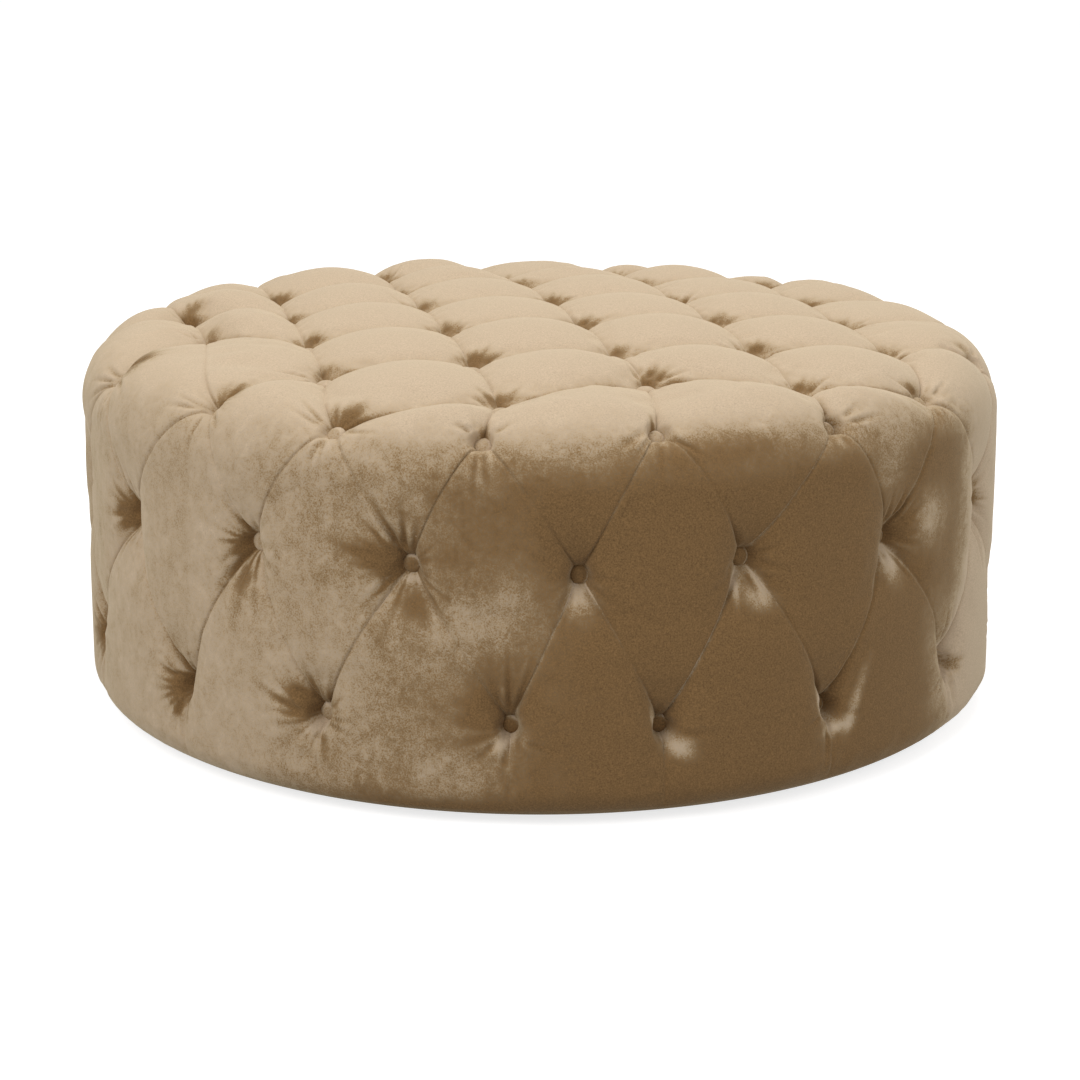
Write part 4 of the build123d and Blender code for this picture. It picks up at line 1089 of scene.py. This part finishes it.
def foam_rubber():
    """Open-cell upholstery foam."""
    finish = Finish("open_cell_foam")
    cells = finish.add("ShaderNodeTexVoronoi", {"Vector": finish.place, "Scale": 700}).outputs["Distance"]
    finish.bump(cells, 0.6, 0.0008)
    patches = finish.noise(6, 4)
    return finish.set(Base_Color=finish.ramp(patches, ((0.3, (0.72, 0.62, 0.36)), (0.7, (0.84, 0.77, 0.52)))),
                      Roughness=0.95)


def dust_cloth():
    """Black spun-bonded cloth with its pattern of small bonding points."""
    finish = Finish("black_dust_cloth")
    points = finish.add("ShaderNodeTexVoronoi", {
        "Vector": finish.place, "Scale": 520, "Randomness": 0.15}).outputs["Distance"]
    fibres = finish.noise(900, 4, 0.7, 0, finish.stretched((1, 4, 1)))
    finish.bump(finish.math("MULTIPLY_ADD", fibres, 0.5, points), 0.5, 0.0004)
    black = finish.ramp(fibres, ((0.3, (0.012, 0.012, 0.013)), (0.7, (0.035, 0.035, 0.037))))
    return finish.set(Base_Color=black, Roughness=0.85)


def nylon():
    """Moulded brown nylon, worn where it meets the floor."""
    finish = Finish("moulded_nylon")
    speckle = finish.noise(900, 3)
    height = finish.add("ShaderNodeSeparateXYZ", {"Vector": finish.place}).outputs["Z"]
    worn = finish.math("MULTIPLY_ADD", height, -160, finish.math("MULTIPLY_ADD", speckle, 0.6, 0.3))
    finish.bump(speckle, 0.2, 0.0003)
    brown = finish.ramp(worn, ((0.2, (0.030, 0.022, 0.018)), (0.9, (0.085, 0.070, 0.060))))
    return finish.set(Base_Color=brown, Roughness=0.5)


def paint(piece, material):
    """Give a piece one material."""
    piece.data.materials.clear()
    piece.data.materials.append(material)


# Operators: one for each group of pieces, and one for the stage

def ready(operator, name, material):
    """Say what a finished piece is made of."""
    piece = bpy.data.objects[name]
    paint(piece, material)
    operator.report({"INFO"}, f"{name}: {len(piece.data.polygons)} faces")
    return {"FINISHED"}


# The lining's folds are this much wider than the cover's, so that it stays under them
LINING_FOLD = 2.2
# The lining lies this many cover thicknesses under the cover
LINING_GAP = 1.1
# Cloth: points closer than this to a pleat are held
HELD_PLEAT = 0.0015
CLOTH = {
    "quality": 6, "mass": 0.3, "tension_stiffness": 20, "compression_stiffness": 20, "shear_stiffness": 8,
    "bending_stiffness": 0.3, "use_pressure": True, "uniform_pressure_force": 2.5, "shrink_min": -0.02,
    "vertex_group_mass": "held",
}
CLOTH_FRAMES = 20
# The furthest a point may move, on the wall and on the top
CLOTH_CAPS = (0.0012, 0.004)


class POUF_OT_velvet_cover(bpy.types.Operator):
    """Make the tufted velvet cover"""

    bl_idname = "pouf.velvet_cover"
    bl_label = "Velvet cover"

    def execute(self, context):
        shape = context.scene.pouf_shape
        tufting = Tufting(shape)
        mesh, quarters = pillow_cage(tufting, shape.cuts, foot_rows=3, hem_rows=5)
        tuft(tufting, mesh, quarters)
        piece = new_object("tufted_velvet", mesh)
        self.inflate(tufting, piece)
        lining = mesh.copy()
        subdivided(piece)
        smooth = positions(piece.data)
        folds = self.press(tufting, piece.data)
        feet = kept(piece.data, "foot")
        points, normals = tufting.envelope.at(feet)
        # Keep the tones of the pile: its painted sheen, and painted shade and light in pits, creases and
        # folds
        keep(piece.data, "nap_and_shade", nap_and_shade_tones(tufting, feet, points, normals, piece.data, folds))
        put_positions(lining, smooth[:len(lining.vertices)])
        self.press(tufting, lining, LINING_FOLD)
        put_positions(lining, positions(lining) - facing(lining) * shape.cover_thickness * LINING_GAP)
        keep(lining, "nap_and_shade", np.zeros(len(lining.vertices)))
        self.line(piece.data, lining)
        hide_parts("velvet_cover")
        return ready(self, piece.name, velvet("camel_velvet", context.scene.pouf_velvet))

    def inflate(self, tufting, piece):
        """Simulate the cloth between its pleats under the foam's push, and keep how it lies."""
        mesh = piece.data
        before = positions(mesh)
        points, normals = tufting.envelope.at(kept(mesh, "foot"))
        held = kept(mesh, "pleat") < HELD_PLEAT
        for _, near, _, _ in tufting.places_round_buttons(points, tufting.shape.seat_rim):
            held[near] = True
        held |= np.linalg.norm(kept(mesh, "foot")[:, :2], axis=1) > tufting.envelope.hem_run
        group = piece.vertex_groups.new(name="held")
        group.add([int(place) for place in np.flatnonzero(held)], 1, "REPLACE")
        cloth = piece.modifiers.new("cloth", "CLOTH")
        for name, value in CLOTH.items():
            setattr(cloth.settings, name, value)
        cloth.settings.effector_weights.gravity = 0
        cloth.point_cache.frame_start, cloth.point_cache.frame_end = 1, CLOTH_FRAMES
        scene = bpy.context.scene
        for frame_number in range(1, CLOTH_FRAMES + 1):
            scene.frame_set(frame_number)
        evaluated = piece.evaluated_get(bpy.context.evaluated_depsgraph_get())
        after = positions(evaluated.data)
        piece.modifiers.clear()
        piece.vertex_groups.clear()
        scene.frame_set(1)
        move = after - before
        inward = np.minimum(0, np.einsum("ij,ij->i", move, normals))
        move -= inward[:, None] * normals
        length = np.linalg.norm(move, axis=1)[:, None]
        cap = CLOTH_CAPS[0] + (CLOTH_CAPS[1] - CLOTH_CAPS[0]) * smooth_step(*WALL_TONE_HEIGHTS, points[:, 2:])
        put_positions(mesh, before + move * np.minimum(1, cap / np.maximum(length, 1e-9)))

    def press(self, tufting, mesh, wider=1):
        """Fold the cloth in along the pleats and round the buttons, and tell how deep the folds are."""
        points, normals = tufting.envelope.at(kept(mesh, "foot"))
        folds = fold_depths(tufting, points, wider)
        press = tufting.shape.crease_depth * kept(mesh, "fold") + folds
        put_positions(mesh, positions(mesh) - normals * press[:, None])
        return folds

    def line(self, mesh, lining):
        """Close the cover with its coarser inner face, joined round the hem."""
        bm = bmesh.new()
        bm.from_mesh(lining)
        bmesh.ops.reverse_faces(bm, faces=bm.faces[:])
        bm.from_mesh(mesh)
        rims = [edge for edge in bm.edges if edge.is_boundary]
        bmesh.ops.bridge_loops(bm, edges=rims)
        bm.to_mesh(mesh)
        bm.free()
        bpy.data.meshes.remove(lining)
        forget(mesh)
        mesh.uv_layers.remove(mesh.uv_layers["quarter"])
        mesh.shade_smooth()


BUTTON_SEED = 3
BUTTON_STEPS = 28
# A dome's outline as shares of its radius and height, and the gathers round its rim
BUTTON_OUTLINE = (
    (0, 0), (0.90, 0), (0.98, 0.08), (1.0, 0.28), (0.95, 0.50), (0.82, 0.71), (0.62, 0.87),
    (0.38, 0.965), (0.16, 0.995), (0, 1),
)
BUTTON_GATHERS = 14
GATHER_DEPTH = 0.018
# How far a button may sit askew, in degrees
BUTTON_LEAN = 5
# Painted shade and painted highlight on the buttons: how much darker a button is painted than the velvet
# round it, and how light its rim is painted on one side: between which shares of its radius, and at which
# angles
BUTTON_SHADE = 0.15
RIM_LIGHT = 1.2
RIM_REACH = (0.45, 0.85)
RIM_TURNS = (-50, 70)


class POUF_OT_buttons(bpy.types.Operator):
    """Make the covered buttons, one piece for each ring and one for the top"""

    bl_idname = "pouf.buttons"
    bl_label = "Covered buttons"

    def execute(self, context):
        shape = context.scene.pouf_shape
        tufting = Tufting(shape)
        material = velvet("camel_velvet_buttons", context.scene.pouf_velvet)
        dome = self.dome(shape)
        chance = random.Random(BUTTON_SEED)
        for set_name, names in tufting.sets.items():
            bm = bmesh.new()
            for name in names:
                centre, normal = (Vector(each) for each in tufting.seat(name))
                before = set(bm.verts)
                bm.from_mesh(dome)
                turn = normal.to_track_quat("Z", "Y").to_matrix().to_4x4()
                spin = Matrix.Rotation(chance.uniform(0, 2 * pi), 4, "Z")
                lean = Matrix.Rotation(radians(chance.uniform(-BUTTON_LEAN, BUTTON_LEAN)), 4, "X")
                bmesh.ops.transform(
                    bm, matrix=Matrix.Translation(centre) @ turn @ lean @ spin,
                    verts=[vert for vert in bm.verts if vert not in before])
            mesh = mesh_from(bm, f"buttons_{set_name}")
            keep(mesh, "nap_and_shade", self.nap_and_shade(tufting, names, mesh, chance))
            piece = new_object(f"covered_buttons_{set_name}", mesh)
            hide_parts(f"button_caps_{set_name}")
            ready(self, piece.name, material)
        bpy.data.meshes.remove(dome)
        return {"FINISHED"}

    def nap_and_shade(self, tufting, names, mesh, chance):
        """How dark the pile is painted over each button: as its surroundings, with painted shade over the
        button and a painted highlight along one rim.
        """
        points = positions(mesh)
        tone = np.zeros(len(points))
        share = len(points) // len(names)
        for place, name in enumerate(names):
            own = slice(place * share, (place + 1) * share)
            foot = tufting.feet[name][None]
            around = zone_sheen_and_shade(tufting, foot, tufting.envelope.at(foot)[0])[0]
            centre, normal = tufting.seat(name)
            offset = points[own] - centre
            offset -= (offset @ normal)[:, None] * normal
            reach = np.linalg.norm(offset, axis=1) / tufting.shape.button_radius
            turn = radians(chance.uniform(*RIM_TURNS))
            across = Vector((0, 0, 1)).cross(Vector(normal)).normalized()
            side = np.cos(turn) * np.array(across) + np.sin(turn) * np.array(Vector(normal).cross(across))
            lit = smooth_step(*RIM_REACH, reach) * np.clip(offset @ side / tufting.shape.button_radius, 0, 1)
            # Painted shade over the button, and a painted highlight along one rim
            tone[own] = around + BUTTON_SHADE - RIM_LIGHT * lit
        return np.clip(tone, 0, 1)

    def dome(self, shape):
        """One covered button at the origin, its velvet gathered a little round the rim."""
        radius, height = shape.button_radius, shape.button_height
        bm = bmesh.new()
        verts = [bm.verts.new((radius * r, 0, height * z)) for r, z in BUTTON_OUTLINE]
        edges = [bm.edges.new(pair) for pair in zip(verts, verts[1:])]
        bmesh.ops.spin(bm, geom=verts + edges, cent=(0, 0, 0), axis=(0, 0, 1), angle=2 * pi,
                       steps=BUTTON_STEPS, use_merge=True)
        bmesh.ops.remove_doubles(bm, verts=bm.verts[:], dist=0.00001)
        for vert in bm.verts:
            reach = vert.co.xy.length / radius
            angle = np.arctan2(vert.co.y, vert.co.x)
            gather = 1 + GATHER_DEPTH * np.sin(angle * BUTTON_GATHERS) * smooth_step(0.6, 1, reach)
            vert.co.x *= gather
            vert.co.y *= gather
        bmesh.ops.recalc_face_normals(bm, faces=bm.faces[:])
        return mesh_from(bm, "button_dome")


# The foam: how far it lies under the cover, how much wider its seats are, its gap to the drum, and the
# cuts across a quarter of a pillow
FOAM_INSET = 0.0045
FOAM_SEAT_MARGIN = 0.008
FOAM_GAP = 0.0004
FOAM_CUTS = 4


class POUF_OT_foam(bpy.types.Operator):
    """Make the foam under the cover: the top pad and the band round the drum"""

    bl_idname = "pouf.foam"
    bl_label = "Foam"

    def execute(self, context):
        tufting = Tufting(context.scene.pouf_shape)
        material = foam_rubber()
        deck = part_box("deck_board")[1].z + FOAM_GAP
        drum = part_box("deck_board")[1].x + FOAM_GAP
        for node in ("foam_top_pad", "foam_side_band"):
            mesh, quarters = pillow_cage(tufting, FOAM_CUTS, foot_rows=2, hem_rows=1)
            tuft(tufting, mesh, quarters, FOAM_INSET, FOAM_SEAT_MARGIN)
            _, normals = tufting.envelope.at(kept(mesh, "foot"))
            fold = kept(mesh, "fold")[:, None] * tufting.shape.crease_depth
            put_positions(mesh, positions(mesh) - normals * fold)
            bm = bmesh.new()
            bm.from_mesh(mesh)
            bpy.data.meshes.remove(mesh)
            top = node == "foam_top_pad"
            bmesh.ops.bisect_plane(bm, geom=bm.verts[:] + bm.edges[:] + bm.faces[:], plane_co=(0, 0, deck),
                                   plane_no=(0, 0, 1), clear_inner=top, clear_outer=not top)
            if top:
                rim = [edge for edge in bm.edges if edge.is_boundary]
                bmesh.ops.holes_fill(bm, edges=rim)
            else:
                self.close_band(bm, deck, drum)
            bmesh.ops.recalc_face_normals(bm, faces=bm.faces[:])
            piece = new_object(node + "_block", mesh_from(bm, node + "_block"))
            forget(piece.data)
            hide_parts(node)
            ready(self, piece.name, material)
        return {"FINISHED"}

    def close_band(self, bm, deck, drum):
        """Join the band's upper and lower rims by a wall round the drum."""
        floor = min(vert.co.z for vert in bm.verts) + FOAM_INSET / 10
        bmesh.ops.bisect_plane(bm, geom=bm.verts[:] + bm.edges[:] + bm.faces[:],
                               plane_co=(0, 0, floor), plane_no=(0, 0, 1), clear_inner=True)
        rims = [edge for edge in bm.edges if edge.is_boundary]
        rim = [edge for edge in rims if edge.verts[0].co.z > deck / 2]
        foot = [edge for edge in rims if edge not in rim]
        for level in (deck, floor):
            rim, verts = extrude_rim(bm, rim)
            for vert in verts:
                vert.co.xy = vert.co.xy.normalized() * min(drum, vert.co.xy.length)
                vert.co.z = level
        bmesh.ops.bridge_loops(bm, edges=rim + foot)


# The dust cover's facets, and its gap to what it lies on
DUST_SEGMENTS = 144
DUST_RINGS = 24
DUST_GAP = 0.00003


class POUF_OT_dust_cover(bpy.types.Operator):
    """Stretch the dust cover over the underside"""

    bl_idname = "pouf.dust_cover"
    bl_label = "Dust cover"

    def execute(self, context):
        low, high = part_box("dust_cover")
        radius = (high.x - low.x) / 2
        bm = bmesh.new()
        bmesh.ops.create_circle(bm, cap_ends=False, segments=DUST_SEGMENTS, radius=radius)
        rim = bm.edges[:]
        for inset in range(1, DUST_RINGS):
            rim, verts = extrude_rim(bm, rim)
            share = 1 - inset / DUST_RINGS
            for vert in verts:
                vert.co.xy = vert.co.xy.normalized() * radius * share
        bmesh.ops.holes_fill(bm, edges=rim)
        for vert in bm.verts:
            vert.co.z = high.z - DUST_GAP
        bmesh.ops.recalc_face_normals(bm, faces=bm.faces[:])
        if next(iter(bm.faces)).normal.z > 0:
            bmesh.ops.reverse_faces(bm, faces=bm.faces[:])
        piece = new_object("dust_cloth", mesh_from(bm, "dust_cloth"))
        thickness = piece.modifiers.new("cloth_thickness", "SOLIDIFY")
        thickness.thickness = high.z - low.z - 2 * DUST_GAP
        thickness.offset = 1
        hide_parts("dust_cover")
        return ready(self, piece.name, dust_cloth())


class POUF_OT_drum(bpy.types.Operator):
    """Finish the drum, its fasteners, the twines and the glides"""

    bl_idname = "pouf.drum"
    bl_label = "Drum and fasteners"

    def execute(self, context):
        finishes = {
            "plywood": plywood(),
            "softwood": pine(),
            "plated_steel": steel("zinc_plate", (0.62, 0.62, 0.60), 0.28),
            "bare_steel": steel("drawn_steel", (0.46, 0.45, 0.43), 0.34),
            "waxed_twine": waxed_twine(),
            "nylon": nylon(),
        }
        slots = {part["node"]: part["material_slot"] for part in frame["record"]["subparts"]}
        for name, piece in frame["nodes"].items():
            if slots[name] in finishes:
                paint(piece, finishes[slots[name]])
        return {"FINISHED"}


FLOOR_REACH = 40
# How brightly the floor shows white where it is seen, and how strongly the sky lights the pouf
FLOOR_GLOW = 0.75
SKY_LIGHT = 0.55
# The width of the lens's frame, in millimetres
SENSOR_WIDTH = 36
LAMPS = (
    # name, place, target, size, power in watts
    ("key", (-1.8, -2.4, 2.6), (0, 0, 0.25), 2.4, 60),
    ("fill", (2.6, -1.6, 1.8), (0, 0, 0.25), 2.4, 22),
    ("top", (0.2, 0.6, 3.0), (0, 0, 0.35), 2.6, 40),
)


class POUF_OT_stage(bpy.types.Operator):
    """Set the floor, the light and the camera"""

    bl_idname = "pouf.stage"
    bl_label = "Stage"

    def execute(self, context):
        stage = context.scene.pouf_stage
        scene = context.scene
        bm = bmesh.new()
        bmesh.ops.create_grid(bm, x_segments=1, y_segments=1, size=FLOOR_REACH)
        floor = bpy.data.objects.new("floor", mesh_from(bm, "floor"))
        scene.collection.objects.link(floor)
        paint(floor, self.floor_finish())
        self.world(scene)
        for name, place, target, size, power in LAMPS:
            lamp = bpy.data.lights.new(name, "AREA")
            lamp.shape = "DISK"
            lamp.size = size
            lamp.energy = power
            turn = (Vector(target) - Vector(place)).to_track_quat("-Z", "Y").to_euler()
            self.hang(scene, lamp, place, turn)
        camera = bpy.data.cameras.new("camera")
        camera.lens = stage.lens
        camera.sensor_width = SENSOR_WIDTH
        place = (0, -stage.camera_distance, stage.camera_height)
        scene.camera = self.hang(scene, camera, place, (pi / 2 - stage.camera_pitch, 0, 0))
        scene.view_settings.view_transform = "Standard"
        return {"FINISHED"}

    def hang(self, scene, data, place, turn):
        """Put a lamp or a camera in its place."""
        holder = bpy.data.objects.new(data.name, data)
        holder.location = place
        holder.rotation_euler = turn
        scene.collection.objects.link(holder)
        return holder

    def floor_finish(self):
        """White floor that keeps a faint shadow."""
        finish = Finish("white_floor")
        patch = finish.noise(0.8, 2)
        finish.set(Base_Color=finish.ramp(patch, ((0, (0.50, 0.50, 0.50)), (1, (0.52, 0.52, 0.52)))),
                   Roughness=0.9, Specular_IOR_Level=0.0)
        return finish.set(Emission_Color=(1, 1, 1, 1),
                          Emission_Strength=finish.math("MULTIPLY", finish.seen_directly(), FLOOR_GLOW))

    def world(self, scene):
        """Even light, and white where it is seen."""
        world = bpy.data.worlds.new("studio")
        world.use_nodes = True
        scene.world = world
        nodes = Nodes(world.node_tree)
        background = nodes.tree.nodes["Background"]
        level = nodes.add("ShaderNodeMapRange", {"Value": nodes.seen_directly(), "To Min": SKY_LIGHT})
        nodes.join(background.inputs["Color"], (1, 1, 1, 1))
        nodes.join(background.inputs["Strength"], level.outputs["Result"])


class POUF_PT_panel(bpy.types.Panel):
    """The pouf's pieces and sizes"""

    bl_idname = "POUF_PT_panel"
    bl_label = "Tufted pouf"
    bl_space_type = "VIEW_3D"
    bl_region_type = "UI"
    bl_category = "Pouf"

    def draw(self, context):
        for step in STEPS:
            self.layout.operator(step.bl_idname)
        for group in (context.scene.pouf_shape, context.scene.pouf_velvet, context.scene.pouf_stage):
            column = self.layout.column(align=True)
            for name in group.bl_rna.properties.keys():
                if name not in ("rna_type", "name"):
                    column.prop(group, name)


GROUPS = {"pouf_shape": PoufShape, "pouf_velvet": PoufVelvet, "pouf_stage": PoufStage}
STEPS = (POUF_OT_stage, POUF_OT_velvet_cover, POUF_OT_buttons, POUF_OT_foam, POUF_OT_dust_cover,
         POUF_OT_drum)


def register():
    """Make the classes known to Blender."""
    for name, group in GROUPS.items():
        bpy.utils.register_class(group)
        setattr(bpy.types.Scene, name, PointerProperty(type=group))
    for each in (*STEPS, POUF_PT_panel):
        bpy.utils.register_class(each)


def unregister():
    """Take the classes away again."""
    for each in (POUF_PT_panel, *reversed(STEPS)):
        bpy.utils.unregister_class(each)
    for name, group in reversed(GROUPS.items()):
        delattr(bpy.types.Scene, name)
        bpy.utils.unregister_class(group)


def main():
    """Make the pouf, piece by piece."""
    register()
    bpy.ops.pouf.stage()
    bpy.ops.pouf.velvet_cover()
    bpy.ops.pouf.buttons()
    bpy.ops.pouf.foam()
    bpy.ops.pouf.dust_cover()
    bpy.ops.pouf.drum()
    bpy.context.view_layer.update()


if __name__ == "__main__":
    main()
